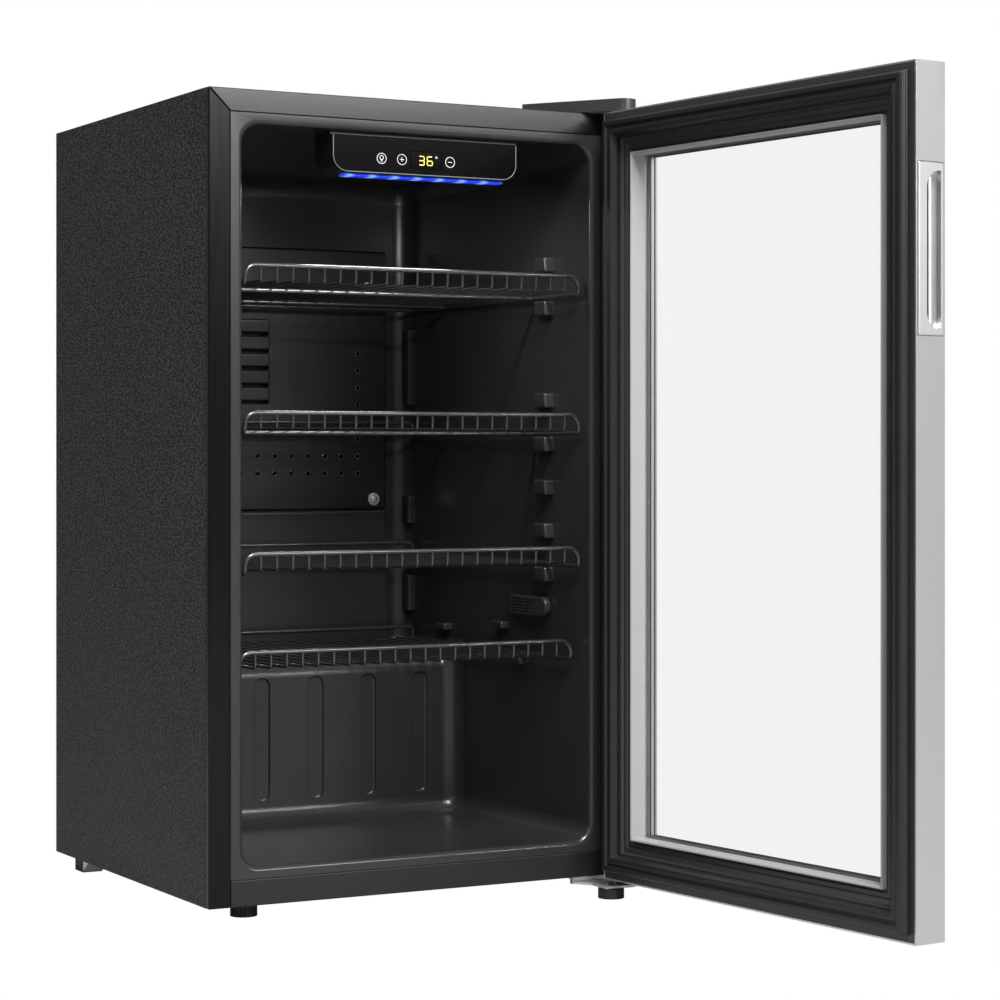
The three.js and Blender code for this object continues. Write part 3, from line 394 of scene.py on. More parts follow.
class Edit:
    """A piece in edit mode, with nothing selected."""

    KINDS = {"verts": "VERT", "edges": "EDGE", "faces": "FACE"}

    def __init__(self, piece):
        self.piece = piece

    def __enter__(self):
        only(self.piece)
        bpy.ops.object.mode_set(mode="EDIT")
        bpy.ops.mesh.select_all(action="DESELECT")
        return self

    def __exit__(self, *error):
        bpy.ops.object.mode_set(mode="OBJECT")

    def pick(self, kind, test):
        bpy.ops.mesh.select_mode(type=self.KINDS[kind])
        bpy.ops.mesh.select_all(action="DESELECT")
        mesh = bmesh.from_edit_mesh(self.piece.data)
        for part in getattr(mesh, kind):
            part.select_set(bool(test(part)))
        mesh.select_flush_mode()
        bmesh.update_edit_mesh(self.piece.data)

    def everything(self, kind="faces"):
        bpy.ops.mesh.select_mode(type=self.KINDS[kind])
        bpy.ops.mesh.select_all(action="SELECT")


def push(x=0.0, y=0.0, z=0.0):
    """Extrudes what is selected along a vector."""
    bpy.ops.mesh.extrude_region_move(TRANSFORM_OT_translate={"value": (x, y, z)})


def scale_about(centre, x=1.0, y=1.0, z=1.0):
    bpy.ops.transform.resize(value=(x, y, z), center_override=centre)


def modify(piece, kind, **settings):
    """Adds a modifier and applies it."""
    only(piece)
    modifier = piece.modifiers.new(kind.lower(), kind)
    for key, value in settings.items():
        setattr(modifier, key, value)
    bpy.ops.object.modifier_apply(modifier=modifier.name)
    return piece


def round_edges(piece, width, segments=3, angle=30):
    return modify(
        piece, "BEVEL", width=width, segments=segments, limit_method="ANGLE",
        angle_limit=math.radians(angle), use_clamp_overlap=True,
    )


def smooth(piece, angle=40):
    """Smooth shading that leaves the flat faces flat."""
    only(piece)
    bpy.ops.object.shade_smooth_by_angle(angle=math.radians(angle))
    return modify(piece, "WEIGHTED_NORMAL", keep_sharp=True, weight=80)


def combine(piece, tool, operation):
    """Joins a tool to a piece or cuts it away, and throws the tool out."""
    modify(piece, "BOOLEAN", object=tool, operation=operation, solver="EXACT")
    bpy.data.objects.remove(tool)
    return piece


def gather(name, pieces):
    """Several pieces joined into one mesh."""
    only(pieces[0])
    for piece in pieces:
        piece.select_set(True)
    bpy.ops.object.join()
    return named(name)


def copy_of(piece, name, shift):
    """The same shape with its own mesh, moved."""
    only(piece)
    bpy.ops.object.duplicate()
    twin = named(name)
    twin.data = twin.data.copy()
    twin.location = shift
    return settle(twin)


def from_frame(node, rounding, segments=3, angle=30):
    """A frame node's shape with its edges worked round."""
    piece = bpy.data.objects.new(node + "_finished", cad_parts[node].data.copy())
    bpy.context.scene.collection.objects.link(piece)
    piece.data.materials.clear()
    with Edit(piece) as work:
        work.everything("verts")
        bpy.ops.mesh.remove_doubles(threshold=0.00001)
        bpy.ops.mesh.dissolve_limited(angle_limit=math.radians(1))
    round_edges(piece, rounding, segments, angle)
    return smooth(piece)


def swing(piece):
    """Turns a piece made on the shut door to where the open door holds it."""
    about = Matrix.Translation(HINGE)
    piece.matrix_world = about @ Matrix.Rotation(OPEN_ANGLE, 4, "Z") @ about.inverted()
    return settle(piece)


def hand_over(piece, body, look, *nodes):
    """The finish, the body that it rides on and the nodes that it stands for."""
    piece.data.materials.clear()
    piece.data.materials.append(look.material)
    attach(piece, body)
    if nodes:
        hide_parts(*nodes)
    return piece


def wire(name, points, radius, bends, sides=8, steps=4):
    """A round wire through the points; bends holds the radius at each corner."""
    here = points[0].copy()
    first = (points[1] - points[0]).normalized()
    bpy.ops.object.select_all(action="DESELECT")
    bpy.ops.mesh.primitive_circle_add(
        vertices=sides, radius=radius, fill_type="NGON", location=here,
        rotation=first.to_track_quat("Z", "Y").to_euler(),
    )
    piece = settle(named(name))
    with Edit(piece) as work:
        work.everything()
        for index in range(1, len(points)):
            way = (points[index] - here).normalized()
            reach = (points[index] - here).length
            ends = index == len(points) - 1
            if not ends:
                bend = bends[index - 1]
                onward = (points[index + 1] - points[index]).normalized()
                turn = way.angle(onward)
                reach -= bend * math.tan(turn / 2)
            push(*(way * reach))
            here += way * reach
            if not ends:
                axis = way.cross(onward).normalized()
                centre = here + axis.cross(way) * bend
                bpy.ops.mesh.spin(steps=steps, angle=-turn, center=centre, axis=axis)
                here = centre + Matrix.Rotation(turn, 3, axis) @ (here - centre)
        work.everything()
        bpy.ops.mesh.normals_make_consistent(inside=False)
    return piece


def moulding(name, x0, x1, z0, z1, profile):
    """A mitred ring. The section's points are (inset from the outside, depth)."""
    width = x1 - x0
    height = z1 - z0
    centre = spot((x0 + x1) / 2, profile[0][1], (z0 + z1) / 2)
    bpy.ops.object.select_all(action="DESELECT")
    bpy.ops.mesh.primitive_plane_add(size=1, location=centre, rotation=(math.pi / 2, 0, 0))
    piece = named(name)
    inset = profile[0][0]
    piece.scale = (width - 2 * inset, height - 2 * inset, 1)
    settle(piece)
    with Edit(piece) as work:
        work.everything("faces")
        bpy.ops.mesh.delete(type="ONLY_FACE")
        work.everything("edges")
        last_inset, last_depth = profile[0]
        for inset, depth in profile[1:] + profile[:1]:
            push(y=depth - last_depth)
            scale_about(
                centre, x=(width - 2 * inset) / (width - 2 * last_inset),
                z=(height - 2 * inset) / (height - 2 * last_inset),
            )
            last_inset, last_depth = inset, depth
        work.everything("verts")
        bpy.ops.mesh.remove_doubles(threshold=0.00001)
        bpy.ops.mesh.normals_make_consistent(inside=False)
    return piece


# ---- the liner --------------------------------------------------------------------------
def lean(depth):
    """How far the side wall has leaned in at a depth."""
    return LINER_TAPER * depth / LINER_DEPTH


def near(value, other, slack=0.0004):
    return abs(value - other) < slack


def liner_hollow():
    """The space inside the liner as a closed solid, with a step at the rear."""
    hollow = block(
        "liner_finished", spot(MOUTH_SIDE, LIP, MOUTH_LOW),
        spot(CABINET.x - MOUTH_SIDE, STEP_FRONT, MOUTH_HIGH),
    )
    levels = [LIP, STEP_FRONT, LINER_DEPTH]
    with Edit(hollow) as work:
        work.everything()
        bpy.ops.mesh.bisect(plane_co=spot(0, 0, STEP_TOP), plane_no=(0, 0, 1))
        work.pick("faces", lambda face: face.normal.y > 0.9
                  and face.calc_center_median().z > HOME.z + STEP_TOP)
        push(y=LINER_DEPTH - STEP_FRONT)
        for depth in levels:
            work.pick("verts", lambda vert: near(vert.co.y, HOME.y + depth))
            half = MIDDLE - MOUTH_SIDE
            scale_about(spot(MIDDLE, depth, 0), x=(half - lean(depth)) / half)
            work.pick("verts", lambda vert: near(vert.co.y, HOME.y + depth)
                      and near(vert.co.z, HOME.z + MOUTH_HIGH))
            bpy.ops.transform.translate(value=(0, 0, -CEILING_FALL * depth / LINER_DEPTH))
        work.everything()
        bpy.ops.mesh.dissolve_limited(angle_limit=math.radians(0.5))
        work.pick("edges", lambda edge: not all(near(v.co.y, HOME.y + LIP) for v in edge.verts))
        bpy.ops.mesh.bevel(offset=LINER_ROUNDING, segments=8, affect="EDGES")
    return hollow


def liner_grooves():
    """Upright grooves with round ends, pressed into the step's front."""
    grooves = []
    for place in GROOVE_PLACES:
        half = GROOVE_WIDTH / 2
        groove = block(
            "groove", spot(place - half, STEP_FRONT - 0.010, GROOVE_LOW),
            spot(place + half, STEP_FRONT + GROOVE_DEPTH, GROOVE_HIGH),
        )
        with Edit(groove) as work:
            work.pick("edges", lambda edge: near(edge.verts[0].co.x, edge.verts[1].co.x)
                      and near(edge.verts[0].co.z, edge.verts[1].co.z))
            bpy.ops.mesh.bevel(offset=half * 0.98, segments=7, affect="EDGES")
            work.pick("edges", lambda edge: all(
                near(v.co.y, HOME.y + STEP_FRONT + GROOVE_DEPTH) for v in edge.verts))
            bpy.ops.mesh.bevel(offset=GROOVE_DEPTH * 0.8, segments=4, affect="EDGES")
        grooves.append(groove)
    return gather("grooves", grooves)


def wall_nub(front, length, top, height, side):
    """A shelf support on one side wall; side is -1 on the left and 1 on the right."""
    reach = MIDDLE - MOUTH_SIDE - lean(front) - NUB_REACH
    root = MIDDLE - MOUTH_SIDE + 0.012
    across = sorted([MIDDLE + side * reach, MIDDLE + side * root])
    nub = block("nub", spot(across[0], front, top - height), spot(across[1], front + length, top))
    with Edit(nub) as work:
        work.pick("verts", lambda vert: near(vert.co.y, HOME.y + front)
                  and vert.co.z < HOME.z + top - 0.001)
        bpy.ops.transform.translate(value=(0, -height * NUB_DRAFT, 0))
    return round_edges(nub, 0.0028, 4)


def liner_raised_parts():
    """What stands out from the walls: shelf supports, corner ribs and the panel over the step."""
    parts = []
    for side in (-1, 1):
        for top in NUB_TOPS:
            parts.append(wall_nub(NUB_FRONT, NUB_LENGTH, top, NUB_HEIGHT, side))
        for front, length, top, height in LOW_NUBS:
            parts.append(wall_nub(front, length, top, height, side))
        for low, high in REAR_RIBS:
            reach = MIDDLE - MOUTH_SIDE - LINER_TAPER - RIB_REACH
            across = sorted([MIDDLE + side * reach, MIDDLE + side * (reach + 0.025)])
            rib = block("rib", spot(across[0], RIB_FRONT, low), spot(across[1], RIB_REAR, high))
            parts.append(round_edges(rib, 0.0025, 3))
    plinth = block(
        "plinth", spot(PLINTH_SIDE, LINER_DEPTH - PLINTH_DEPTH, STEP_TOP - 0.01),
        spot(CABINET.x - PLINTH_SIDE, LINER_DEPTH + 0.01, PLINTH_TOP),
    )
    with Edit(plinth) as work:
        work.pick("verts", lambda vert: near(vert.co.z, HOME.z + PLINTH_TOP))
        scale_about(spot(MIDDLE, 0, 0), x=PLINTH_LEAN)
    parts.append(round_edges(plinth, 0.005, 4))
    return gather("raised_parts", parts)


def liner():
    """The moulded room, with a rounded lip and a flange behind the trim."""
    hollow = liner_hollow()
    combine(hollow, liner_grooves(), "UNION")
    combine(hollow, liner_raised_parts(), "DIFFERENCE")
    centre = spot(MIDDLE, 0, (MOUTH_LOW + MOUTH_HIGH) / 2)
    half_width = MIDDLE - MOUTH_SIDE
    half_height = (MOUTH_HIGH - MOUTH_LOW) / 2
    with Edit(hollow) as work:
        work.pick("faces", lambda face: face.normal.y < -0.9
                  and near(face.calc_center_median().y, HOME.y + LIP))
        bpy.ops.mesh.delete(type="FACE")
        work.pick("edges", lambda edge: all(near(v.co.y, HOME.y + LIP) for v in edge.verts))
        steps = 5
        spread = forward = 0.0
        for step in range(1, steps + 1):
            angle = math.pi / 2 * step / steps
            next_spread = LIP * (1 - math.cos(angle))
            next_forward = LIP * math.sin(angle)
            push(y=forward - next_forward)
            scale_about(
                centre, x=(half_width + next_spread) / (half_width + spread),
                z=(half_height + next_spread) / (half_height + spread),
            )
            spread, forward = next_spread, next_forward
    rim = block(
        "rim", spot(FLANGE_INSET, -0.001, TOE_TOP),
        spot(CABINET.x - FLANGE_INSET, 0, CABINET.z - FLANGE_INSET),
    )
    with Edit(rim) as work:
        work.pick("faces", lambda face: face.normal.y < 0.9)
        bpy.ops.mesh.delete(type="FACE")
        work.everything("faces")
        bpy.ops.mesh.delete(type="ONLY_FACE")
    liner_shell = gather("liner_finished", [hollow, rim])
    with Edit(liner_shell) as work:
        work.pick("edges", lambda edge: all(near(v.co.y, HOME.y, 0.00005) for v in edge.verts))
        bpy.ops.mesh.fill(use_beauty=True)
        work.everything("verts")
        bpy.ops.mesh.remove_doubles(threshold=0.000005)
        bpy.ops.mesh.normals_make_consistent(inside=True)
        turned = any(face.normal.z < -0.99 and face.calc_center_median().z < HOME.z + MOUTH_LOW + 0.001
                     for face in bmesh.from_edit_mesh(liner_shell.data).faces)
        if turned:
            bpy.ops.mesh.flip_normals()
    modify(liner_shell, "SOLIDIFY", thickness=LINER_WALL, offset=-1)
    hand_over(smooth(liner_shell, 35), "cabinet", LINER, "liner")


# ---- wire shelves -----------------------------------------------------------------------
def shelf(number):
    """A closed loop of thick wire, bent up at the front and rear, that carries thin wires."""
    node = "shelf_%d" % number
    low, high = (Vector(corner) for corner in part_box(node))
    rail = low.z + RAIL_WIRE
    front_top = high.z - RAIL_WIRE
    rear_top = front_top - REAR_DROP
    front = low.y + RAIL_WIRE
    rear = high.y - RAIL_WIRE
    wide = low.x + RAIL_WIRE
    narrow = wide + lean(rear - front)
    middle = (low.x + high.x) / 2

    def mirrored(x):
        return 2 * middle - x

    corners = [(wide, front, front_top), (wide, front, rail), (narrow, rear, rail), (narrow, rear, rear_top)]
    corners += [(mirrored(x), y, z) for x, y, z in reversed(corners)]
    start = (middle, front, front_top)
    path = [Vector(place) for place in [start] + corners + [start]]
    bends = [FRONT_BEND] + [RAIL_BEND] * 6 + [FRONT_BEND]
    loop = wire("loop", path, RAIL_WIRE, bends, RAIL_SIDES, 5)
    with Edit(loop) as work:
        work.pick("faces", lambda face: len(face.verts) == RAIL_SIDES)
        bpy.ops.mesh.delete(type="ONLY_FACE")
        work.everything("verts")
        bpy.ops.mesh.remove_doubles(threshold=0.00001)
    pieces = [loop]
    for place in [HOME.y + depth for depth in CROSS_WIRES] + [rear]:
        side = wide + lean(place - front)
        ends = [Vector((side, place, rail)), Vector((mirrored(side), place, rail))]
        pieces.append(wire("cross_wire", ends, RAIL_WIRE, [], RAIL_SIDES))
    run_height = rail + RAIL_WIRE + RUN_WIRE - WELD
    span = mirrored(wide) - wide
    pitch = span / (RUN_COUNT + 1)
    run_path = [
        Vector((wide + pitch, front, front_top)), Vector((wide + pitch, front, run_height)),
        Vector((wide + pitch, rear - 0.001, run_height)),
    ]
    run = wire("run_wire", run_path, RUN_WIRE, [RUN_BEND], 8, 4)
    modify(
        run, "ARRAY", count=RUN_COUNT, use_relative_offset=False,
        use_constant_offset=True, constant_offset_displace=(pitch, 0, 0),
    )
    pieces.append(run)
    finished = gather(node + "_finished", pieces)
    only(finished)
    bpy.ops.object.shade_smooth_by_angle(angle=math.radians(60))
    hand_over(finished, node, WIRE, node)


# ---- control panel ----------------------------------------------------------------------
def bar(name, x0, x1, y0, y1, z0, z1, rounding=0.0):
    """A block given by its ends on the cabinet, with its edges rounded."""
    piece = block(name, spot(x0, y0, z0), spot(x1, y1, z1))
    if rounding:
        round_edges(piece, rounding, 2)
    return piece


def mark_bar(x0, x1, z0, z1, face, rounding=0.00005):
    """A thin printed bar."""
    return bar("bar", x0, x1, face - PRINT, face + PRINT, z0, z1, rounding)


def mark_ring(x, z, face, radius, thick):
    """A thin printed ring."""
    ring = disc("ring", spot(x, face, z), radius, 2 * PRINT, (0, 1, 0), 32)
    hole = disc("hole", spot(x, face, z), radius - thick, 0.0010, (0, 1, 0), 32)
    return combine(ring, hole, "DIFFERENCE")


def key_marks(node, body, glyph):
    """The ring and the sign on one key."""
    low, high = (Vector(corner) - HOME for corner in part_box(node))
    x = (low.x + high.x) / 2
    z = (low.z + high.z) / 2
    face = low.y - 0.00005
    line = 0.0006
    arm = 0.0024
    thick = 0.00033
    parts = [mark_ring(x, z, face, KEY_RING, line)]
    if glyph in ("plus", "minus"):
        parts.append(mark_bar(x - arm, x + arm, z - thick, z + thick, face))
    if glyph == "plus":
        parts.append(mark_bar(x - thick, x + thick, z - arm, z + arm, face))
    if glyph == "bulb":
        parts.append(mark_ring(x, z + 0.0009, face, arm, line))
        for rung in range(2):
            foot = z - 0.0022 - rung * 0.0010
            parts.append(mark_bar(x - 0.0011, x + 0.0011, foot, foot + 0.0005, face, 0))
    key = from_frame(node, 0.0006, 2)
    hand_over(key, body, GLOSS, node)
    hand_over(gather(node + "_mark", parts), body, MARKS_PAINTED_GLOW)


SEGMENTS = {  # ends of each bar, as shares of a digit's width and height
    "a": (0, 1, 1, 1), "b": (1, 1, 1, 0.5), "c": (1, 0.5, 1, 0), "d": (0, 0, 1, 0),
    "e": (0, 0.5, 0, 0), "f": (0, 1, 0, 0.5), "g": (0, 0.5, 1, 0.5),
}
DIGIT_SEGMENTS = ["abcdg", "acdefg"]


def digits():
    """Two lit digits of seven bars each, and a degree ring, on the window's face."""
    low, high = (Vector(corner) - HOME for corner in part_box("display_window"))
    face = low.y - 0.00015
    wide = 0.0060
    tall = 0.0090
    thick = 0.00052
    short = 0.0004
    pitch = 0.0096
    start = 0.2396
    bottom = FASCIA_KEYS - tall / 2
    bars = []
    for place, lit in enumerate(DIGIT_SEGMENTS):
        left = start + place * pitch
        for letter in lit:
            x0, z0, x1, z1 = SEGMENTS[letter]
            across = sorted([left + x0 * wide, left + x1 * wide])
            up = sorted([bottom + z0 * tall, bottom + z1 * tall])
            if x0 == x1:
                box = (across[0] - thick, across[1] + thick, up[0] + short, up[1] - short)
            else:
                box = (across[0] + short, across[1] - short, up[0] - thick, up[1] + thick)
            bars.append(mark_bar(*box, face))
    hand_over(gather("display_digits", bars), "cabinet", DIGITS)
    degree = mark_ring(start + 0.0204, bottom + tall - 0.0004, face, 0.0012, 0.0005)
    degree.name = "degree_mark"
    hand_over(degree, "cabinet", MARKS_PAINTED_GLOW)
    hand_over(from_frame("display_window", 0.0005, 2), "cabinet", GLOSS, "display_window")


def control_panel():
    """Front plate, housing, light strip, keys and display."""
    hand_over(from_frame("control_fascia", 0.0007, 3), "cabinet", GLOSS, "control_fascia")
    hand_over(from_frame("control_housing", 0.0025, 3), "cabinet", BLACK, "control_housing")
    low, high = (Vector(corner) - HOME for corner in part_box("light_lens"))
    strip = bar("light_lens_finished", low.x, high.x, low.y, high.y, high.z - LENS_HEIGHT, high.z, 0.0009)
    hand_over(strip, "cabinet", LENS, "light_lens")
    fascia_edge_highlight()
    key_marks("key_light", "light_key", "bulb")
    key_marks("key_plus", "plus_key", "plus")
    key_marks("key_minus", "minus_key", "minus")
    digits()


def fascia_edge_highlight():
    """A pale line round the panel's sides and lower edge: a painted highlight for the light that its edge
    catches.
    """
    low, high = (Vector(corner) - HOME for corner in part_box("control_fascia"))
    inset = 0.0019
    face = low.y - 0.0001
    top = high.z - 0.001
    path = [
        spot(low.x + inset, face, top), spot(low.x + inset, face, low.z + inset),
        spot(high.x - inset, face, low.z + inset), spot(high.x - inset, face, top),
    ]
    line = wire("fascia_edge_highlight", path, 0.0006, [0.016, 0.016], 6, 8)
    only(line)
    bpy.ops.object.shade_smooth_by_angle(angle=math.radians(60))
    hand_over(line, "cabinet", GLOSS_EDGE_HIGHLIGHT)


# ---- duct and sensor --------------------------------------------------------------------
def duct():
    """The pressed cover on the rear wall, with its slots, slats and rows of holes."""
    low, high = (Vector(corner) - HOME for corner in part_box("duct_cover"))
    cover = block("duct_cover_finished", spot(*low), spot(*high))
    with Edit(cover) as work:
        work.pick("faces", lambda face: face.normal.y > 0.9)
        bpy.ops.mesh.inset(thickness=0.002, depth=0)
        bpy.ops.transform.translate(value=(0, -0.0097, 0))
        work.pick("edges", lambda edge: all(near(v.co.y, HOME.y + low.y) for v in edge.verts))
        bpy.ops.mesh.bevel(offset=0.003, segments=4, affect="EDGES")
    openings = []
    for z in SLOT_PLACES:
        slot = bar("slot", *SLOT_SPAN, low.y - 0.003, low.y + 0.004, z, z + SLOT_HEIGHT)
        openings.append(round_edges(slot, 0.0032, 3))
    places = [(column, row) for column in range(HOLE_COLUMNS) for row in range(HOLE_ROWS)]
    places += [(0, row) for row in range(HOLE_ROWS, HOLE_CLIMB)]
    holes = [
        spot(HOLE_START[0] - column * HOLE_PITCH[0], low.y, HOLE_START[1] + row * HOLE_PITCH[1])
        for column, row in places
    ]
    for centre in holes:
        openings.append(disc("hole", centre, HOLE_RADIUS, 0.012, (0, 1, 0), 12))
    combine(cover, gather("openings", openings), "DIFFERENCE")
    hand_over(smooth(cover), "cabinet", DUCT, "duct_cover")
    hand_over(gather("duct_hole_rims", [hole_rim(centre) for centre in holes]), "cabinet", RIM_PAINTED_GLINT)
    slats = []
    for z in SLOT_PLACES:
        slat = bar(
            "slat", SLOT_SPAN[0] - 0.001, SLOT_SPAN[1] + 0.001,
            low.y - 0.0016, low.y + 0.0034, z + 0.0036, z + SLOT_PITCH,
        )
        slats.append(round_edges(slat, 0.0027, 5))
    hand_over(smooth(gather("duct_slats", slats)), "cabinet", DUCT)


def hole_rim(centre):
    """The rolled edge of one small hole."""
    bpy.ops.object.select_all(action="DESELECT")
    bpy.ops.mesh.primitive_torus_add(
        location=centre, rotation=(math.pi / 2, 0, 0), major_segments=12, minor_segments=6,
        major_radius=HOLE_RADIUS + 0.0003, minor_radius=0.0009,
    )
    rim = settle(named("rim"))
    bpy.ops.object.shade_smooth()
    return rim


def screw(name, centre, axis, radius, height, washer=0.0):
    """A domed screw with a cross cut in its head; axis points away from the part."""
    out = Vector(axis)
    head = disc(name, centre + out * height / 2, radius, height, axis, 24)
    with Edit(head) as work:
        work.pick("edges", lambda edge: all((v.co - centre).dot(out) > height * 0.9 for v in edge.verts))
        bpy.ops.mesh.bevel(offset=height * 0.75, segments=4, affect="EDGES")
    side = out.orthogonal().normalized()
    for way in (side, out.cross(side)):
        cut = block("cut", Vector((-0.5, -0.5, -0.5)), Vector((0.5, 0.5, 0.5)))
        across = out.cross(way)
        turn = Matrix((way, across, out)).transposed().to_4x4()
        size = Matrix.Diagonal((radius * 1.1, radius * 0.22, height, 1))
        cut.matrix_world = Matrix.Translation(centre + out * height) @ turn @ size
        settle(cut)
        with Edit(cut) as work:
            work.everything()
            bpy.ops.mesh.normals_make_consistent(inside=False)
        combine(head, cut, "DIFFERENCE")
    if washer:
        ring = disc("washer", centre + out * 0.0006, washer, 0.0012, axis, 28)
        round_edges(ring, 0.0004, 2)
        head = gather(name, [head, ring])
    return smooth(head)


def screws():
    forward = (0, -1, 0)
    for node, washer in (("duct_screw_low", 0.0075), ("duct_screw_high", 0.0)):
        low, high = (Vector(corner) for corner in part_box(node))
        centre = Vector(((low.x + high.x) / 2, high.y, (low.z + high.z) / 2))
        radius = 0.0046 if washer else (high.x - low.x) / 2
        made = screw(node + "_finished", centre, forward, radius, high.y - low.y, washer)
        hand_over(made, "cabinet", ZINC, node)
    for node, way in (
        ("top_hinge_screw_1", 1), ("top_hinge_screw_2", 1),
        ("bottom_hinge_screw_1", -1), ("bottom_hinge_screw_2", -1),
    ):
        low, high = (Vector(corner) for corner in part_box(node))
        base = low.z if way > 0 else high.z
        centre = Vector(((low.x + high.x) / 2, (low.y + high.y) / 2, base))
        made = screw(node + "_finished", centre, (0, 0, way), 0.004, high.z - low.z)
        hand_over(made, "cabinet", ZINC, node)


def sensor():
    """The grille over the temperature sensor: a round-nosed cover with rows of slots."""
    low, high = (Vector(corner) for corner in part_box("sensor_cover"))
    cover = from_frame("sensor_cover", 0.002, 3)
    cuts = []
    for row in range(5):
        z = low.z + 0.0035 + row * 0.0034
        for column in range(7):
            y = low.y + 0.022 + column * 0.0078
            depth = 0.0012 + 0.0002 * column
            corner = Vector((low.x - 0.002, y, z))
            cuts.append(block("cut", corner, corner + Vector((0.002 + depth, 0.0058, 0.0016))))
    combine(cover, gather("cuts", cuts), "DIFFERENCE")
    hand_over(smooth(cover), "cabinet", DOOR_BLACK_PAINTED_SHEEN, "sensor_cover")


# ---- cabinet ----------------------------------------------------------------------------
def cabinet():
    """The painted wrap, the trim round its front and the strip under the opening."""
    hand_over(from_frame("outer_shell", 0.0005, 2), "cabinet", PAINT, "outer_shell")
    for side in ("left", "right"):
        node = "front_trim_" + side
        hand_over(from_frame(node, 0.0012, 3), "cabinet", TRIM, node)
    hand_over(from_frame("front_trim_top", 0.0012, 3), "cabinet", TRIM_TOP_PAINTED_SHEEN, "front_trim_top")
    hand_over(from_frame("toe_kick", 0.0015, 3), "cabinet", TOE, "toe_kick")


def back_screws():
    """Screws round the rear panel and the bay cover."""
    low, high = (Vector(corner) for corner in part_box("back_panel"))
    under = Vector(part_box("bay_cover")[0])
    inset = 0.010
    deep = high.y - 0.0008
    heights = [under.z + inset, low.z - inset, low.z + inset, (low.z + high.z) / 2, high.z - inset]
    places = [(x, z) for x in (low.x + inset, high.x - inset) for z in heights]
    first = screw("rear_screw", Vector((0, deep, 0)), (0, 1, 0), 0.0035, 0.0008)
    for number, (x, z) in enumerate(places):
        hand_over(copy_of(first, "rear_screw_%d" % number, (x, 0, z)), "cabinet", ZINC)
    bpy.data.objects.remove(first)


# ---- hinges and feet --------------------------------------------------------------------
def hinges():
    hand_over(from_frame("top_hinge_cover", 0.0022, 4), "cabinet", DOOR_BLACK_PAINTED_SHEEN, "top_hinge_cover")
    hand_over(from_frame("bottom_hinge_bracket", 0.0005, 2), "cabinet", ZINC, "bottom_hinge_bracket")


def front_foot(node, body):
    """A ribbed levelling foot on a stud that is sunk into it."""
    low, high = (Vector(corner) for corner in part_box(node))
    centre = Vector(((low.x + high.x) / 2, (low.y + high.y) / 2, 0))
    radius = (high.x - low.x) / 2
    tall = 0.014 if node.endswith("left") else 0.0105
    rib = 0.0008
    sides = 48
    above = centre + Vector((0, 0, low.z + tall / 2))
    foot = disc(node + "_finished", above, radius - rib, tall, (0, 0, 1), sides)
    with Edit(foot) as work:
        work.pick("faces", lambda face: abs(face.normal.z) > 0.9)
        bpy.ops.mesh.inset(thickness=0.002, use_individual=True)
        work.pick("faces", lambda face: face.normal.z > 0.9 and len(face.verts) > 8)
        bpy.ops.transform.translate(value=(0, 0, -0.0015))
        work.pick("faces", lambda face: abs(face.normal.z) < 0.1
                  and round(math.atan2(face.normal.y, face.normal.x) / math.tau * sides - 0.5) % 2 == 0)
        bpy.ops.mesh.inset(thickness=0.00015, depth=rib, use_individual=True)
    sunk = 0.004
    above = centre + Vector((0, 0, (low.z + tall + high.z - sunk) / 2))
    stud = disc("stud", above, 0.0029, high.z - low.z - tall + sunk, (0, 0, 1), 16)
    hand_over(smooth(gather(node + "_finished", [foot, stud])), body, FOOT, node)


def feet():
    front_foot("foot_front_left", "left_foot")
    front_foot("foot_front_right", "right_foot")
    for side in ("left", "right"):
        hand_over(from_frame("rear_foot_" + side, 0.0015, 3), "cabinet", FOOT, "rear_foot_" + side)
        bracket = "rear_bracket_" + side
        hand_over(from_frame(bracket, 0.0006, 2), "cabinet", ZINC, bracket)


# ---- door -------------------------------------------------------------------------------
def door_ring(name, inset, profile, rounding):
    """A mitred ring on the door, so far in from its edges, at the door's open place."""
    ring = moulding(name, inset, CABINET.x - inset, DOOR_LOW + inset, DOOR_HIGH - inset, profile)
    return smooth(round_edges(swing(ring), rounding, 2))


def door():
    steel = from_frame("door_frame", 0.0009, 3)
    hand_over(steel, "door", STEEL, "door_frame")
    inner_frame()
    gasket()
    window()
    handle()


def window():
    """Two panes with a spacer and seals between them, and a pale lining on the room's side."""
    lining = [
        (0, FRAME_BACK), (0.0024, FRAME_BACK), (0.0024, DOOR_INSIDE - 0.0008),
        (0.0012, DOOR_INSIDE), (0, DOOR_INSIDE),
    ]
    hand_over(door_ring("window_jamb_finished", DOOR_SIDE, lining, 0.0003), "door", JAMB, "window_jamb")
    for node in ("outer_pane", "inner_pane"):
        hand_over(from_frame(node, 0.0006, 2), "door", GLASS, node)
    front = DOOR_OUTSIDE + 0.0058
    rear = front + 0.0077
    waisted = [(0, front), (0, rear), (0.0040, rear), (0.0034, front + 0.0038), (0.0040, front)]
    spacer = door_ring("pane_spacer_finished", DOOR_SIDE, waisted, 0.0003)
    hand_over(spacer, "door", ALUMINIUM, "pane_spacer")
    for name, back in (("outer_pane_seal", front + 0.0004), ("inner_pane_seal", front + 0.0063)):
        strip = [(0.0032, back), (0.0032, back + 0.0010), (0.0046, back + 0.0010), (0.0046, back)]
        hand_over(door_ring(name, DOOR_SIDE, strip, 0.0001), "door", RUBBER)


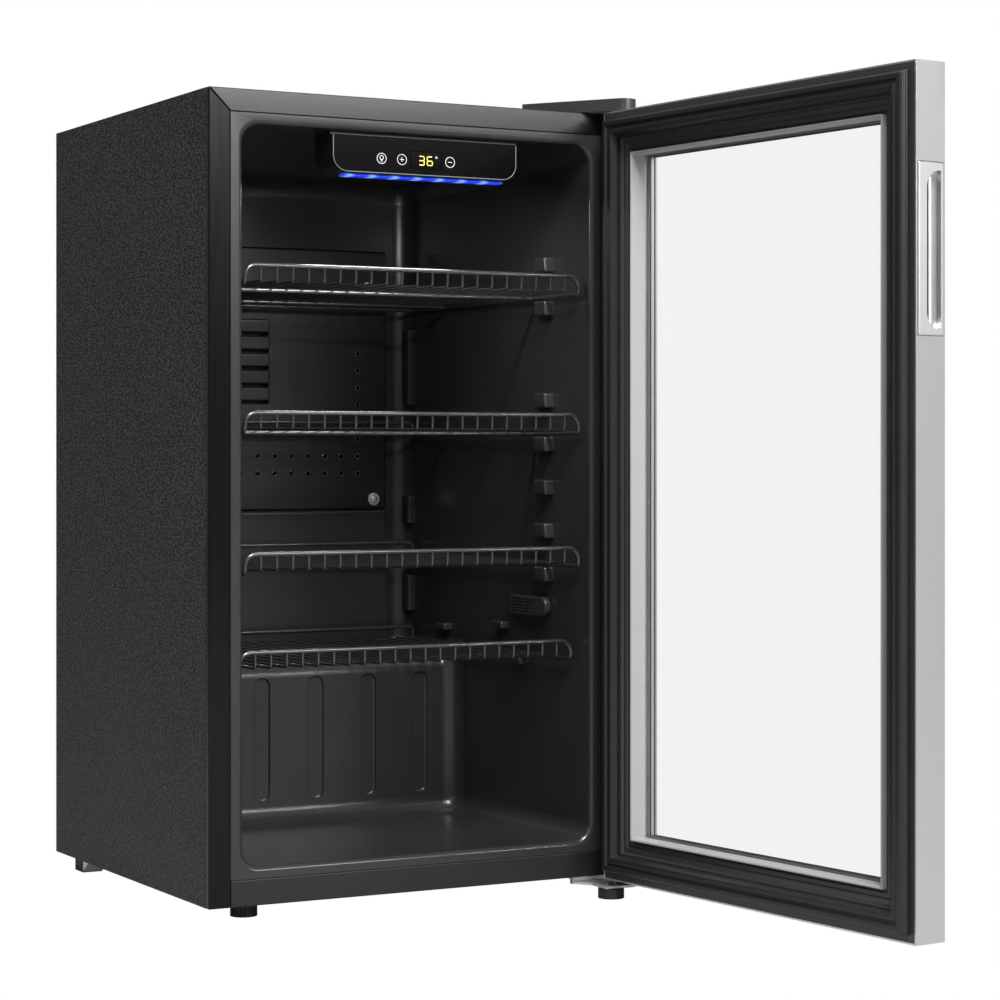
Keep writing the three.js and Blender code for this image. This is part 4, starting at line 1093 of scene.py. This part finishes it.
def inner_frame():
    """The black inner frame, stepped in ridges down to the window."""
    back = FRAME_BACK
    top = DOOR_INSIDE
    profile = [
        (0, back), (0, top), (0.0075, top), (0.0085, top - 0.004), (0.0235, top - 0.004), (0.0245, top),
        (0.0290, top), (0.0300, top - 0.0022), (0.0350, top - 0.0022), (0.0360, top - 0.0040),
        (0.0405, top - 0.0040), (0.0415, top - 0.0058), (0.0434, top - 0.0058), (0.0434, back),
    ]
    ring = door_ring("door_inner_frame_finished", 0.0023, profile, 0.0005)
    hand_over(ring, "door", DOOR_BLACK_PAINTED_SHEEN, "door_inner_frame")


def gasket():
    """The magnetic seal: a flat foot and two soft ridges."""
    base = DOOR_INSIDE + 0.0003
    top = base + 0.0102
    profile = [
        (0, base), (0, base + 0.004), (0.0012, base + 0.0055), (0.0012, top - 0.0022), (0.0030, top),
        (0.0075, top), (0.0092, top - 0.0025), (0.0108, top - 0.0025), (0.0125, top - 0.0004),
        (0.0168, top - 0.0010), (0.0188, base + 0.0050), (0.0200, base + 0.0030), (0.0200, base),
    ]
    side = 0.008
    end = 0.009
    seal = moulding(
        "door_gasket_finished", side, CABINET.x - side, DOOR_LOW + end, DOOR_HIGH - end, profile,
    )
    round_edges(seal, 0.0006, 2)
    hand_over(smooth(swing(seal)), "door", RUBBER, "door_gasket")


def handle():
    """A chrome cup let into the door's free edge, with a flat bezel and a scooped pocket."""
    proud, deep = -0.0015, 0.0205
    middle = (DOOR_INSIDE + DOOR_OUTSIDE) / 2
    half = HANDLE_WIDTH / 2
    cup = block(
        "door_handle_finished", spot(proud, middle - half, HANDLE_LOW),
        spot(deep, middle + half, HANDLE_LOW + HANDLE_HEIGHT),
    )
    round_edges(cup, 0.0016, 4)
    inner = middle + half - 0.0105  # the bezel is wide here and narrow at the door's face
    outer = middle - half + 0.0045
    tool = block(
        "scoop", spot(proud - 0.01, outer, HANDLE_LOW + 0.006),
        spot(POCKET_FLOOR, inner, HANDLE_LOW + HANDLE_HEIGHT - 0.008),
    )
    with Edit(tool) as work:
        work.pick("edges", lambda edge: all(near(v.co.y, HOME.y + inner) for v in edge.verts)
                  and near(edge.verts[0].co.z, edge.verts[1].co.z))
        bpy.ops.mesh.bevel(offset=0.016, segments=8, affect="EDGES")
        work.pick("edges", lambda edge: all(near(v.co.x, HOME.x + POCKET_FLOOR) for v in edge.verts))
        bpy.ops.mesh.bevel(offset=0.0075, segments=8, affect="EDGES")
    combine(cup, tool, "DIFFERENCE")
    round_edges(cup, 0.0009, 3, 50)
    hand_over(smooth(swing(cup), 60), "door", CHROME, "door_handle")


# ---- frame nodes that stay --------------------------------------------------------------
def carried_over():
    """Gives the nodes that stay as they are their finish."""
    for look, nodes in CARRIED_OVER.items():
        for node in nodes:
            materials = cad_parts[node].data.materials
            materials.clear()
            materials.append(look.material)


# ---- studio -----------------------------------------------------------------------------
def lamp(name, place, aim, size, power):
    """A rectangular lamp that faces a place."""
    bpy.ops.object.select_all(action="DESELECT")
    way = Vector(aim) - Vector(place)
    bpy.ops.object.light_add(type="AREA", location=place, rotation=way.to_track_quat("-Z", "Y").to_euler())
    light = bpy.context.object
    light.name = name
    light.data.shape = "RECTANGLE"
    light.data.size, light.data.size_y = size
    light.data.energy = power


def studio():
    world_light()
    paper_floor()
    lamps()
    camera()


def world_light():
    """White to the camera and dimmer to everything else."""
    scene = bpy.context.scene
    world = bpy.data.worlds.new("studio")
    scene.world = world
    world.use_nodes = True
    nodes = world.node_tree.nodes
    seen = nodes.new("ShaderNodeLightPath")
    strength = nodes.new("ShaderNodeMapRange")
    strength.inputs["To Min"].default_value = 0.22
    strength.inputs["To Max"].default_value = 1.0
    world.node_tree.links.new(seen.outputs["Is Camera Ray"], strength.inputs["Value"])
    world.node_tree.links.new(strength.outputs[0], nodes["Background"].inputs["Strength"])
    nodes["Background"].inputs["Color"].default_value = STUDIO_WHITE
    scene.view_settings.view_transform = "Standard"


def paper_floor():
    """White to the camera and mid grey to all other light, so that the cooler stands on plain white."""
    bpy.ops.object.select_all(action="DESELECT")
    bpy.ops.mesh.primitive_plane_add(size=30, location=(0, 0, -0.0005))
    floor = named("floor")
    paper = Look("studio_paper", "painted_steel", Emission_Strength=1.0, Specular_IOR_Level=0.0)
    tone = paper.noise(2.0, 1.0)
    seen = paper.node("LightPath", output="Is Camera Ray")
    paper.feed("Base Color", paper.mix(seen, paper.mix(tone, grey(0.34), grey(0.38)), grey(0.0)))
    paper.feed("Emission Color", paper.mix(seen, grey(0.06), grey(1.0)))
    paper.feed("Roughness", 0.8 + tone * 0.1)
    floor.data.materials.append(paper.material)


def lamps():
    lamp("key_light", (-3.0, -2.2, 2.2), (0, 0, 0.45), (1.2, 1.2), 14)
    lamp("front_light", (2.3, -6.2, 2.7), (0, 0, 0.4), (3.2, 1.5), 230)
    lamp("right_card", (3.2, -2.9, 0.9), (0.25, -0.45, 0.45), (2.4, 2.6), 7)
    lamp("high_front_light", (-0.5, -2.4, 3.4), (0, 0.1, 0.2), (1.2, 1.2), 225)
    lamp("top_light", (0, 0.2, 3.0), (0, 0, 0), (2.0, 2.0), 20)
    lamp("cabinet_lamp", spot(0.235, 0.035, 0.738), spot(0.24, 0.2, 0.1), (0.18, 0.02), 0.8)


def camera():
    """A long lens a little above the cooler's half height, held level."""
    lens = bpy.data.cameras.new("camera")
    lens.lens = 96.39
    lens.sensor_width = 36
    lens.shift_y = -0.0458
    lens.clip_end = 60
    holder = bpy.data.objects.new("camera", lens)
    bpy.context.scene.collection.objects.link(holder)
    holder.location = (-1.3017, -2.4585, 0.4737)
    holder.rotation_euler = (math.radians(90), 0, math.radians(-28.83))
    bpy.context.scene.camera = holder


cabinet()
liner()
for shelf_number in range(1, 5):
    shelf(shelf_number)
control_panel()
duct()
screws()
sensor()
back_screws()
hinges()
feet()
door()
carried_over()
studio()
